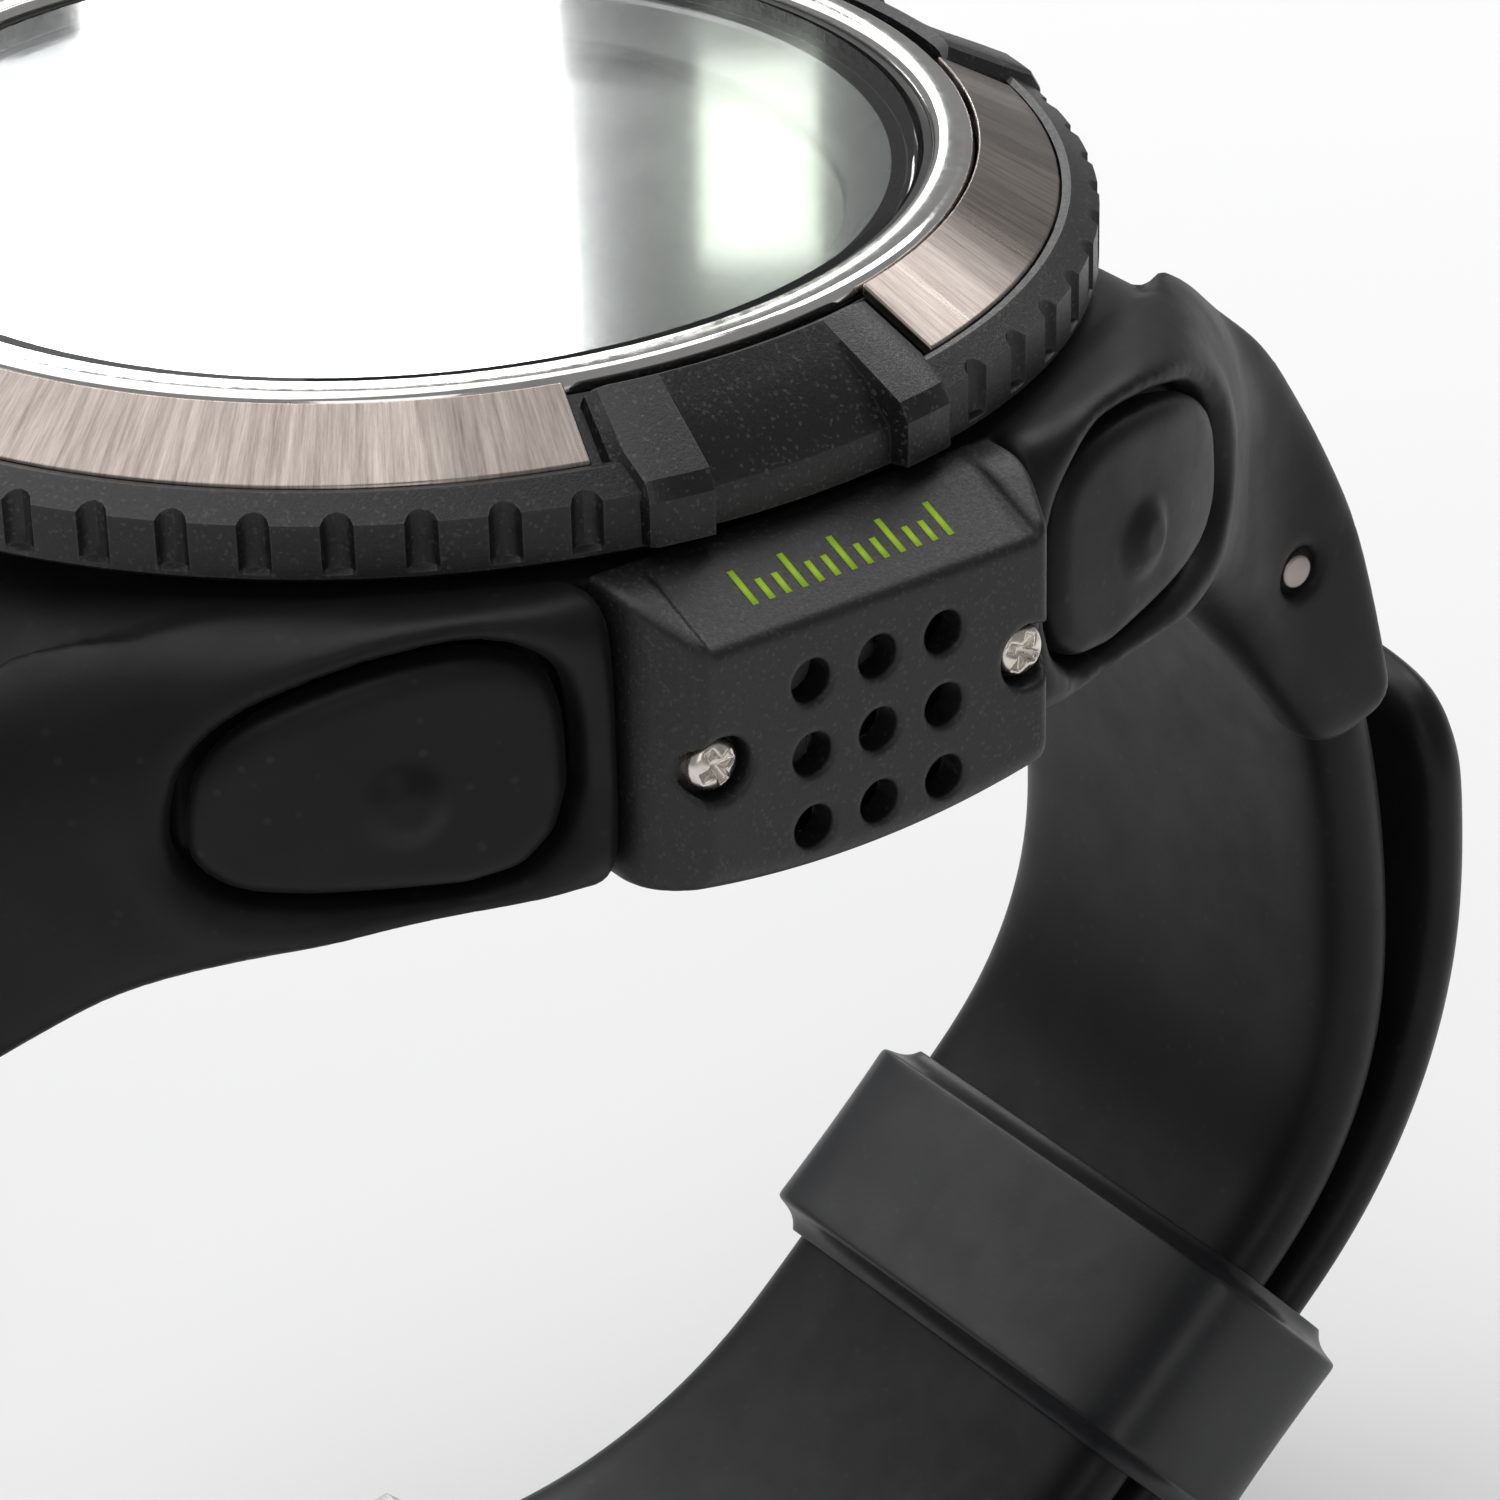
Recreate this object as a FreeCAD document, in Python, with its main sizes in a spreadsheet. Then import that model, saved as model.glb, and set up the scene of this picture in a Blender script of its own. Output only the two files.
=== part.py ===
import FreeCAD, Part
import math
import os
import re
import Sketcher

# Wrist-worn dive computer. Millimetres, +Z out of the dial, +X towards the depth sensor,
# +Y towards twelve o'clock. The origin is the centre of the case back's flat face.

Vector = FreeCAD.Vector
Rotation = FreeCAD.Rotation
Placement = FreeCAD.Placement
alongX = Rotation(Vector(0, 1, 0), 90)

doc = FreeCAD.newDocument("DiveComputer")
sheet = doc.addObject("Spreadsheet::Sheet", "Sizes")
nodes = []

drivingSizes = [
    ("dialTop", 15.5, "height of the polished ring above the case back"),
    ("glassRadius", 18.18, "glass edge"),
    ("glassTop", 15.2, "upper face of the glass"),
    ("glassSeat", 12.9, "lower face of the glass"),
    ("gasketRadius", 18.45, "outside of the glass gasket"),
    ("polishedRadius", 19.87, "outside of the polished ring"),
    ("polishedFoot", 10.6, "foot of the polished ring on the case middle"),
    ("flangeInner", 15.6, "opening of the dial flange"),
    ("middleInner", 17.6, "bore of the case middle"),
    ("middleOuter", 20.3, "outside of the case middle"),
    ("backStep", 1.6, "thickness of the case back's rim"),
    ("backPlug", 16.9, "plug of the case back"),
    ("backRadius", 20.0, "rim of the case back"),
    ("backScrewCircle", 18.95, "radius of the screw circle"),
    ("backScrewHead", 1.15, "head radius"),
    ("backScrewShank", 0.6, "shank radius"),
    ("bezelOuter", 24.0, "coin edge"),
    ("bezelInner", 19.95, "running fit on the polished ring"),
    ("bezelBottom", 11.27, "lower face of the coin edge"),
    ("bezelShoulder", 13.2, "top of the coin edge's upright wall"),
    ("wireHeight", 12.2, "retaining wire between bezel and polished ring"),
    ("wireRadius", 0.28, "radius of the retaining wire"),
    ("insertOuter", 22.7, "rim of the steel insert"),
    ("insertRim", 13.85, "height of the insert's outer edge"),
    ("insertThick", 0.45, "thickness of the insert"),
    ("fluteCount", 60, "flutes round the coin edge"),
    ("fluteRadius", 0.5, "half width of a flute"),
    ("gripHalf", 13.0, "half of a grip's angle"),
    ("gripOuter", 24.45, "outside of a grip"),
    ("gripFloor", 12.55, "seat of a grip on the bezel ring"),
    ("gripWall", 22.55, "upright seat of a grip"),
    ("jacketTop", 11.0, "top of the rubber jacket"),
    ("jacketBottom", 1.0, "underside of the jacket's flanks"),
    ("jacketBore", 20.35, "bore of the jacket"),
    ("flankRadius", 41.2, "plan radius of a flank"),
    ("flankOffset", 15.6, "plan centre of a flank past the dial's axis"),
    ("hornHalf", 13.2, "half width over the horns"),
    ("slotHalf", 10.5, "half width between the horns"),
    ("strapHalf", 10.2, "half width of the straps"),
    ("strapThick", 3.3, "thickness of one strap"),
    ("strapGap", 0.25, "gap between the two layers"),
    ("bottomHalf", 8.0, "half length of the loop's flat bottom"),
    ("bottomFace", -49.6, "inner face of the loop's flat bottom"),
    ("underBend", 42.0, "angle of the loop's lower bend"),
    ("underRadius", 20.0, "inner radius of the lower bend"),
    ("keeperRun", 12.5, "straight stretch under the keeper"),
    ("sideBend", 48.0, "angle of the loop's side bend"),
    ("sideRadius", 13.5, "inner radius of the side bend"),
    ("upperBend", 20.0, "angle of the loop's upper bend"),
    ("upperRadius", 44.0, "inner radius of the upper bend"),
    ("neckBend", 37.0, "angle of the bend into the horns"),
    ("neckRadius", 9.85, "inner radius of the bend into the horns"),
    ("tailBend", 10.4, "how far the tail follows the upper bend"),
    ("tailEase", 3.0, "wider side bend of the tail, which stands off the short strap"),
    ("knuckleRadius", 2.95, "strap end round its pin"),
    ("pinRadius", 0.65, "strap pin"),
    ("crossingOut", 14.0, "inner radius where the long strap dips"),
    ("crossingIn", 10.0, "inner radius where it levels again"),
    ("crossingStart", -7.0, "where the long strap starts to dip"),
    ("bucklePinY", 4.5, "buckle pin, along the loop's bottom"),
    ("bucklePinZ", -51.0, "buckle pin height"),
    ("bucklePinRadius", 0.75, "buckle pin"),
    ("buckleBore", 0.8, "running bore on the buckle pin"),
    ("tongueHalf", 1.0, "half width of the tongue"),
    ("tongueThick", 1.0, "thickness of the tongue"),
    ("tongueAngle", 13.0, "slope of the tongue at rest"),
    ("barInner", -13.6, "buckle's far bar, edge nearer the pin"),
    ("barOuter", -17.4, "buckle's far bar, outer edge"),
    ("barTop", -53.3, "buckle's far bar, side facing the strap"),
    ("barBottom", -54.62, "buckle's far bar, side facing away"),
    ("buckleClear", 0.4, "between the strap and each buckle arm"),
    ("buckleArm", 2.0, "thickness of each buckle arm"),
    ("buckleEye", 1.8, "strap end and arm round the buckle pin"),
    ("keeperLength", 7.6, "length of the keeper along the strap"),
    ("keeperShift", 0.9, "keeper above the middle of its straight stretch"),
    ("keeperEase", 0.2, "play between keeper and straps"),
    ("keeperWall", 1.6, "wall of the keeper"),
    ("coverBack", 23.0, "seat of the sensor cover"),
    ("coverFront", 27.4, "front face of the sensor cover"),
    ("coverHalf", 7.7, "half width of the sensor cover"),
    ("coverFaceHalf", 6.6, "half width of its front face"),
    ("coverBottom", 0.25, "underside of the cover"),
    ("coverFaceTop", 9.5, "top edge of its front face"),
    ("coverTop", 10.95, "top edge at the bezel"),
    ("portRadius", 0.725, "water port in the cover"),
    ("portPitch", 2.53, "distance between water ports"),
    ("portHeight", 4.9, "middle row of water ports"),
    ("sensorRadius", 2.4, "pressure capsule"),
    ("sensorBore", 2.9, "bore for the capsule"),
    ("coverScrewY", 5.9, "cover screws, either side"),
    ("coverScrewZ", 5.5, "cover screws, height"),
    ("coverScrewHead", 0.9, "head radius"),
    ("buttonAngle", 21.0, "a button's axis from the X axis, in plan"),
    ("buttonX", 23.5, "a button's dot, across"),
    ("buttonY", 14.6, "a button's dot, along"),
    ("buttonZ", 5.2, "a button's dot, height"),
    ("buttonDepth", 2.2, "pad behind its dot"),
    ("buttonTravel", 0.8, "press of a button"),
    ("padCorner", 1.6, "corner radius of a pad"),
    ("padGap", 0.35, "groove round a pad"),
    ("plungerRadius", 0.75, "button plunger"),
    ("plungerBore", 0.8, "bore for the plunger"),
    ("plungerEnd", 11.2, "depth of the plunger's end behind the dot"),
    ("plungerGrip", 0.8, "how far the plunger sits in its pad"),
    ("springLength", 3.9, "button spring"),
    ("springRadius", 1.25, "button spring, to the wire's centre"),
    ("springWire", 0.15, "radius of the spring's wire"),
    ("displayRadius", 15.5, "display module"),
    ("displayTop", 11.2, "face of the display"),
    ("holderRadius", 15.2, "holder of the electronics"),
    ("boardRadius", 14.3, "circuit board"),
    ("batteryRadius", 12.25, "coin cell"),
]


def fillSheet():
    for row, (alias, value, note) in enumerate(drivingSizes, start=1):
        sheet.set(f"A{row}", note)
        sheet.set(f"B{row}", str(value))
        sheet.setAlias(f"B{row}", alias)
    doc.recompute()


def bound(text):
    """Points each size's name at its cell."""
    names = "|".join(sorted((alias for alias, _, _ in drivingSizes), key=len, reverse=True))
    return re.sub(rf"\b({names})\b", r"Sizes.\1", str(text))


def size(text):
    value = sheet.evalExpression(bound(text))
    return float(getattr(value, "Value", value))


def keep(item, label):
    item.Label = label
    nodes.append(item)
    return item


# ---- sketches and features -------------------------------------------------------------

def originPlane(body, role):
    return next(item for item in body.Origin.OriginFeatures if item.Role == role)


def sketchOn(body, role):
    sketch = body.newObject("Sketcher::SketchObject", "Outline")
    sketch.AttachmentSupport = [(originPlane(body, role), "")]
    sketch.MapMode = "FlatFace"
    return sketch


def arcBetween(start, end, radius):
    """A positive radius turns left on the way from start to end, a negative one turns right."""
    chord = end - start
    half = chord.Length / 2
    side = Vector(-chord.y, chord.x, 0).normalize() * math.copysign(1, radius)
    centre = (start + end) / 2 + side * math.sqrt(radius ** 2 - half ** 2)
    first, last = (start, end) if radius > 0 else (end, start)
    angles = [math.atan2(p.y - centre.y, p.x - centre.x) for p in (first, last)]
    return Part.ArcOfCircle(Part.Circle(centre, Vector(0, 0, 1), abs(radius)), *angles)


def drawOutline(sketch, corners):
    """Closed outline. A corner is (x, y), or (x, y, radius) where an arc leaves it."""
    places = [Vector(size(corner[0]), size(corner[1]), 0) for corner in corners]
    ends = []
    for index, corner in enumerate(corners):
        start, end = places[index], places[(index + 1) % len(corners)]
        if len(corner) == 2:
            sketch.addGeometry(Part.LineSegment(start, end))
            ends.append((1, 2))
        else:
            radius = size(corner[2])
            sketch.addGeometry(arcBetween(start, end, radius))
            ends.append((1, 2) if radius > 0 else (2, 1))
    for index, corner in enumerate(corners):
        after = (index + 1) % len(corners)
        sketch.addConstraint(Sketcher.Constraint("Coincident", index, ends[index][1], after, ends[after][0]))
        for kind, text, value in (("DistanceX", corner[0], places[index].x),
                                  ("DistanceY", corner[1], places[index].y)):
            number = sketch.addConstraint(Sketcher.Constraint(kind, -1, 1, index, ends[index][0], value))
            sketch.setExpression(f"Constraints[{number}]", bound(text))
        if len(corner) == 3:
            number = sketch.addConstraint(Sketcher.Constraint("Radius", index, abs(size(corner[2]))))
            sketch.setExpression(f"Constraints[{number}]", bound(f"abs({corner[2]})"))
    return sketch


def drawCircles(sketch, centres, radius):
    for index, (across, up) in enumerate(centres):
        place = Vector(size(across), size(up), 0)
        sketch.addGeometry(Part.Circle(place, Vector(0, 0, 1), size(radius)))
        number = sketch.addConstraint(Sketcher.Constraint("Radius", index, size(radius)))
        sketch.setExpression(f"Constraints[{number}]", bound(radius))
        for kind, text, value in (("DistanceX", across, place.x), ("DistanceY", up, place.y)):
            number = sketch.addConstraint(Sketcher.Constraint(kind, -1, 1, index, 3, value))
            sketch.setExpression(f"Constraints[{number}]", bound(text))
    return sketch


def turnFeature(body, kind, corners, angle):
    """Turns an outline of (radius, height) corners about the Z axis, half to each side of +X."""
    feature = body.newObject(kind, "Turn")
    feature.Profile = drawOutline(sketchOn(body, "XZ_Plane"), corners)
    feature.ReferenceAxis = (feature.Profile[0], ["V_Axis"])
    feature.setExpression("Angle", bound(angle))
    feature.Midplane = angle != "360"
    return feature


def turned(label, corners, angle="360"):
    body = doc.addObject("PartDesign::Body", label)
    turnFeature(body, "PartDesign::Revolution", corners, angle)
    return body


def grooved(body, corners, angle, quarter):
    """Cuts a turned groove, that many quarter turns round, and stops if nothing was cut."""
    doc.recompute()
    before = body.Shape.Volume
    groove = turnFeature(body, "PartDesign::Groove", corners, angle)
    groove.Profile[0].AttachmentOffset = Placement(Vector(), Rotation(Vector(0, 1, 0), 90 * quarter))
    doc.recompute()
    if body.Shape.Volume > before - 0.001:
        raise RuntimeError(f"a groove in {body.Label} cuts nothing")


def pocketed(body, sketch, length):
    """Cuts that deep, away from the solid if need be, and stops if nothing was cut."""
    doc.recompute()
    before = body.Shape.Volume
    feature = body.newObject("PartDesign::Pocket", "Pocket")
    feature.Profile = sketch
    feature.Type = "Length"
    feature.setExpression("Length", bound(length))
    doc.recompute()
    if body.Shape.Volume > before - 0.001:
        feature.Reversed = True
        doc.recompute()
    if body.Shape.Volume > before - 0.001:
        raise RuntimeError(f"a pocket in {body.Label} cuts nothing")
    return feature


def polar(body, feature, count):
    pattern = body.newObject("PartDesign::PolarPattern", "Pattern")
    pattern.Originals = [feature]
    pattern.Axis = (feature.Profile[0], ["N_Axis"])
    pattern.Angle = 360
    pattern.setExpression("Occurrences", bound(count))
    body.Tip = pattern
    return pattern


def cylinder(radius, height, place=None):
    solid = doc.addObject("Part::Cylinder", "Cylinder")
    solid.setExpression("Radius", bound(radius))
    solid.setExpression("Height", bound(height))
    solid.Placement = place or Placement()
    return solid


def torus(major, minor, place=None):
    solid = doc.addObject("Part::Torus", "Torus")
    solid.setExpression("Radius1", bound(major))
    solid.setExpression("Radius2", bound(minor))
    solid.Placement = place or Placement()
    return solid


def block(length, width, height, place):
    """A box centred on its placement in length and width, standing on it in height."""
    solid = doc.addObject("Part::Box", "Block")
    for name, text in (("Length", length), ("Width", width), ("Height", height)):
        solid.setExpression(name, bound(text))
    shift = Vector(-size(length) / 2, -size(width) / 2, 0)
    solid.Placement = place.multiply(Placement(shift, Rotation()))
    return solid


def extruded(corners, role, length):
    """An outline on a plane through the origin, extruded half to each side."""
    sketch = drawOutline(doc.addObject("Sketcher::SketchObject", "Outline"), corners)
    solid = doc.addObject("Part::Extrusion", "Extrusion")
    solid.Base = sketch
    solid.DirMode = "Custom"
    solid.Solid = True
    solid.Symmetric = True
    solid.setExpression("LengthFwd", bound(length))
    turns = {
        "XY": (Rotation(), Vector(0, 0, 1)),
        "XZ": (Rotation(Vector(1, 0, 0), 90), Vector(0, 1, 0)),
        "YZ": (Rotation(Vector(1, 1, 1), 120), Vector(1, 0, 0)),
    }
    sketch.Placement = Placement(Vector(), turns[role][0])
    solid.Dir = turns[role][1]
    return solid


def fused(parts):
    whole = doc.addObject("Part::MultiFuse", "Joined")
    whole.Shapes = parts
    return whole


def common(parts):
    whole = doc.addObject("Part::MultiCommon", "Common")
    whole.Shapes = parts
    return whole


def cut(base, tools):
    whole = doc.addObject("Part::Cut", "Cut")
    whole.Base = base
    whole.Tool = tools[0] if len(tools) == 1 else fused(tools)
    return whole


def mirrored(source, normal):
    image = doc.addObject("Part::Mirroring", "Mirror")
    image.Source = source
    image.Normal = normal
    return image


# ---- glass and polished ring -----------------------------------------------------------

def makeGlass():
    glass = turned("crystal", [
        ("0", "glassSeat"), ("glassRadius", "glassSeat"), ("glassRadius", "glassTop - 0.3"),
        ("glassRadius - 0.3", "glassTop"), ("0", "glassTop")])
    keep(glass, "crystal")
    gasket = turned("crystal_gasket", [
        ("glassRadius", "glassSeat"), ("gasketRadius", "glassSeat"),
        ("gasketRadius", "glassTop - 0.1"), ("glassRadius", "glassTop - 0.1")])
    keep(gasket, "crystal_gasket")
    ring = turned("PolishedRing", [
        ("middleInner", "polishedFoot"), ("polishedRadius", "polishedFoot"),
        ("polishedRadius", "dialTop - 0.35"), ("polishedRadius - 0.35", "dialTop"),
        ("gasketRadius + 0.3", "dialTop"), ("gasketRadius", "dialTop - 0.3"),
        ("gasketRadius", "glassSeat"), ("middleInner", "glassSeat")])
    keep(cut(ring, [retainingWire()]), "crystal_ring")
    flange = turned("dial_flange", [
        ("flangeInner", "displayTop"), ("middleInner", "displayTop"),
        ("middleInner", "glassSeat"), ("middleInner - 0.5", "glassSeat"),
        ("flangeInner", "displayTop + 0.4")])
    keep(flange, "dial_flange")


# ---- rotating bezel --------------------------------------------------------------------

def retainingWire(ease="0"):
    """Round wire half in the polished ring's groove and half in the bezel's."""
    return torus("(polishedRadius + bezelInner) / 2", f"wireRadius + {ease}",
                 Placement(Vector(0, 0, size("wireHeight")), Rotation()))


def makeBezelRing():
    """Coin edge with half-round flutes and four seats for the grips."""
    body = turned("CoinEdge", [
        ("bezelInner", "bezelBottom"), ("bezelOuter", "bezelBottom"),
        ("bezelOuter", "bezelShoulder"), ("insertOuter + 0.35", "insertRim"),
        ("insertOuter + 0.05", "insertRim - 0.05"),
        ("insertOuter + 0.05", "insertRim - insertThick - 0.07"),
        ("bezelInner", "dialTop - insertThick - 0.17")])
    for quarter in range(4):
        grooved(body, [
            ("gripWall", "bezelBottom - 1"), ("bezelOuter + 2", "bezelBottom - 1"),
            ("bezelOuter + 2", "dialTop + 1"), ("bezelInner + 0.35", "dialTop + 1"),
            ("bezelInner + 0.35", "gripFloor"), ("gripWall", "gripFloor")], "2 * gripHalf + 0.4", quarter)
    flute = pocketed(body, drawCircles(sketchOn(body, "XY_Plane"), [
        ("(bezelOuter + 0.12) * cos(3 * 6)", "(bezelOuter + 0.12) * sin(3 * 6)")], "fluteRadius"),
        "bezelShoulder + 0.15")
    polar(body, flute, "fluteCount")
    keep(cut(body, [retainingWire("0.08")]), "bezel_ring")
    keep(retainingWire(), "bezel_retaining_wire")


def makeInsert():
    """Cone of brushed steel, cut away where the grips sit."""
    body = turned("bezel_insert", [
        ("bezelInner + 0.02", "dialTop - 0.1 - insertThick"), ("insertOuter", "insertRim - insertThick"),
        ("insertOuter", "insertRim"), ("bezelInner + 0.02", "dialTop - 0.1")])
    for quarter in range(4):
        grooved(body, [
            ("bezelInner + 0.4", "bezelBottom"), ("bezelOuter", "bezelBottom"),
            ("bezelOuter", "dialTop + 1"), ("bezelInner + 0.4", "dialTop + 1")], "2 * gripHalf + 7", quarter)
    keep(body, "bezel_insert")


def makeGrips():
    """Four plastic finger grips clipped into the bezel ring."""
    for quarter in range(4):
        grip = turned(f"bezel_grip_{quarter + 1}", [
            ("bezelInner + 0.45", "gripFloor"), ("bezelInner + 0.45", "dialTop - 0.25"),
            ("bezelInner + 0.8", "dialTop - 0.1"), ("bezelOuter + 0.1", "insertRim - 0.2"),
            ("gripOuter", "insertRim - 0.8"), ("gripOuter", "bezelBottom + 0.2"),
            ("gripWall", "bezelBottom + 0.2"), ("gripWall", "gripFloor")], "2 * gripHalf")
        grip.Placement = Placement(Vector(), Rotation(Vector(0, 0, 1), 90 * quarter))
        keep(grip, f"bezel_grip_{quarter + 1}")


def makeClickSpring():
    """Flat spring ring under the bezel with three click arms."""
    ring = turned("ClickRing", [
        ("jacketBore + 0.35", "jacketTop - 0.45"), ("jacketBore + 1.6", "jacketTop - 0.45"),
        ("jacketBore + 1.6", "jacketTop - 0.2"), ("jacketBore + 0.35", "jacketTop - 0.2")])
    arms = []
    for index in range(3):
        turn = Placement(Vector(), Rotation(Vector(0, 0, 1), 120 * index + 60))
        place = turn.multiply(Placement(
            Vector(size("jacketBore") + 1, 0, size("jacketTop") - 0.28), Rotation(Vector(1, 0, 0), 4)))
        arms.append(block("0.8", "5", "0.2", place))
    keep(fused([ring] + arms), "bezel_click_spring")


# ---- case ------------------------------------------------------------------------------

def buttonPlace(index):
    """Frame of a button: Z points out of the case, X away from the sensor, at the dot."""
    across = -1 if index in (2, 3) else 1
    along = -1 if index in (0, 3) else 1
    angle = math.radians(size("buttonAngle"))
    out = Vector(across * math.cos(angle), along * math.sin(angle), 0)
    away = Vector(-across * math.sin(angle), along * math.cos(angle), 0)
    spot = Vector(across * size("buttonX"), along * size("buttonY"), size("buttonZ"))
    return Placement(spot, Rotation(away, out.cross(away), out, "ZXY"))


def inButton(index, depth):
    """Place on a button's axis, that far behind its dot, still pointing outwards."""
    return buttonPlace(index).multiply(Placement(Vector(0, 0, -depth), Rotation()))


def atSensor(x, y=0.0, z=None):
    """Place on a line along X, pointing to +X."""
    return Placement(Vector(x, y, size("portHeight") if z is None else z), alongX)


def makeCaseMiddle():
    """Rigid ring that carries the glass, the back and the seals."""
    ring = turned("MiddleRing", [
        ("middleInner", "backStep"), ("middleOuter", "backStep"), ("middleOuter", "polishedFoot"),
        ("middleInner", "polishedFoot")])
    tools = [cylinder("sensorBore", "8", atSensor(15))]
    for index in range(4):
        tools.append(cylinder("plungerBore", "7", inButton(index, 12.5)))
        tools.append(cylinder("1.25", "0.5", inButton(index, 9.15)))
    for spot in backScrewSpots():
        foot = Placement(spot + Vector(0, 0, size("backStep")), Rotation())
        tools.append(cylinder("backScrewShank", "4", foot))
    keep(cut(ring, tools), "case_middle")


def backScrewSpots():
    turn = Rotation(Vector(0, 0, 1), 90)
    spot = Rotation(Vector(0, 0, 1), 45).multVec(Vector(size("backScrewCircle"), 0, 0))
    spots = []
    for _ in range(4):
        spots.append(spot)
        spot = turn.multVec(spot)
    return spots


def makeCaseBack():
    disc = turned("BackDisc", [
        ("0", "0"), ("backRadius - 2.4", "0"), ("backRadius", "0.5"), ("backRadius", "backStep"),
        ("backPlug", "backStep"), ("backPlug", "backStep + 0.9"), ("0", "backStep + 0.9")])
    tools = []
    screws = []
    for spot in backScrewSpots():
        seat = Placement(spot + Vector(0, 0, 1.0), Rotation())
        mouth = Placement(spot + Vector(0, 0, -1.0), Rotation())
        tools.append(cylinder("backScrewHead + 0.1", "2", mouth))
        tools.append(cylinder("backScrewShank", "3", mouth))
        head = cylinder("backScrewHead", "0.7", Placement(spot + Vector(0, 0, 0.3), Rotation()))
        slot = block("2 * backScrewHead", "0.35", "0.3", Placement(spot + Vector(0, 0, 0.2), Rotation()))
        screws.append(cut(fused([head, cylinder("backScrewShank", "3.9", seat)]), [slot]))
    keep(cut(disc, tools), "case_back")
    keep(fused(screws), "case_back_screws")
    seal = torus("(backPlug + middleInner) / 2", "(middleInner - backPlug) / 2 - 0.02",
                 Placement(Vector(0, 0, size("backStep") + 0.45), Rotation()))
    keep(seal, "case_back_seal")


def padOutline():
    """Outline of a push pad before its corners are rounded, in its button's own frame."""
    return [
        ("-3.58", "-1.77"), ("4.95", "-1.08"), ("5.02", "-0.2"), ("4.6", "1.3"), ("1.75", "2.56"),
        ("-1.2", "3"), ("-2.9", "2.85"), ("-3.58", "2.2")]


def padPrism(grow, depth, height):
    """Rounded pad outline, standing on a plane that far behind the dot of the first button."""
    sketch = drawOutline(doc.addObject("Sketcher::SketchObject", "PadOutline"), padOutline())
    rounded = doc.addObject("Part::Offset2D", "PadRounded")
    rounded.Source = sketch
    rounded.setExpression("Value", bound(grow))
    prism = doc.addObject("Part::Extrusion", "PadPrism")
    prism.Base = rounded
    prism.DirMode = "Custom"
    prism.Dir = Vector(0, 0, 1)
    prism.Solid = True
    prism.setExpression("LengthFwd", bound(height))
    prism.Placement = inButton(1, depth)
    return prism


def envelope(inset="0"):
    """Outer shape of the jacket: two curved flanks that taper into horns arched over the wrist."""
    flanks = [cylinder(f"flankRadius - {inset}", "60",
                       Placement(Vector(side * size("flankOffset"), 0, -30), Rotation())) for side in (-1, 1)]
    quarter = [("26.6", "13.9"), ("hornHalf + 0.3", "27.2"), ("hornHalf", "37")]
    plan = quarter
    for across, along in (("-1", "1"), ("-1", "-1"), ("1", "-1")):
        corners = [(f"{across} * ({x})", f"{along} * ({y})") for x, y in quarter]
        plan = plan + (corners if across == along else corners[::-1])
    side = [
        ("jacketBottom + 16.6", "jacketBottom", -50), ("31.3", "-13.2"), ("34.4", "-12.2", 50),
        ("25.2", "6.6"), ("19", "jacketTop"), ("-19", "jacketTop"), ("-25.2", "6.6", 50),
        ("-34.4", "-12.2"), ("-31.3", "-13.2", -50), ("-jacketBottom - 16.6", "jacketBottom")]
    horns = block("2 * hornHalf", "74", "60", Placement(Vector(0, 0, -30), Rotation()))
    return common([fused([common(flanks + [extruded(plan, "XY", "80")]), horns]),
                   extruded(side, "YZ", "80")])


def makeJacket():
    """Rubber jacket with two horns at each end, four button windows and the sensor's recess."""
    pin = strapPin()
    tools = [
        cylinder("jacketBore", "40", Placement(Vector(0, 0, -20), Rotation())),
        turned("ClickRecess", [
            ("jacketBore - 1", "jacketTop - 0.5"), ("jacketBore + 1.8", "jacketTop - 0.5"),
            ("jacketBore + 1.8", "jacketTop + 1"), ("jacketBore - 1", "jacketTop + 1")]),
        cylinder("sensorBore + 0.2", "6", atSensor(19)),
        block("10", "2 * coverHalf + 0.3", "30",
              Placement(Vector(size("coverBack") + 4.95, 0, -10), Rotation())),
    ]
    for side in (-1, 1):
        tools.append(cylinder("coverScrewHead - 0.4", "5", atSensor(20.6, side * size("coverScrewY"),
                                                                   size("coverScrewZ"))))
        axis = Placement(Vector(-size("slotHalf"), side * pin.y, pin.z), alongX)
        tools.append(cylinder("knuckleRadius + 0.15", "2 * slotHalf", axis))
        tools.append(cylinder("pinRadius", "40", Placement(Vector(-20, side * pin.y, pin.z), alongX)))
        lean = Rotation(Vector(1, 0, 0), side * 28)
        tools.append(block("2 * slotHalf", "26", "24",
                           Placement(Vector(0, side * pin.y, pin.z), lean).multiply(
                               Placement(Vector(0, 0, -24), Rotation()))))
    window = padPrism("padCorner + padGap", size("buttonDepth + buttonTravel + 0.3"), "8")
    shaft = cylinder("1.7", "9", inButton(1, 9))
    quarter = [window, shaft]
    tools += quarter + [mirrored(item, Vector(0, 1, 0)) for item in quarter]
    across = [mirrored(item, Vector(1, 0, 0)) for item in quarter]
    tools += across + [mirrored(item, Vector(0, 1, 0)) for item in across]
    keep(cut(envelope(), tools), "case_jacket")


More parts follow.
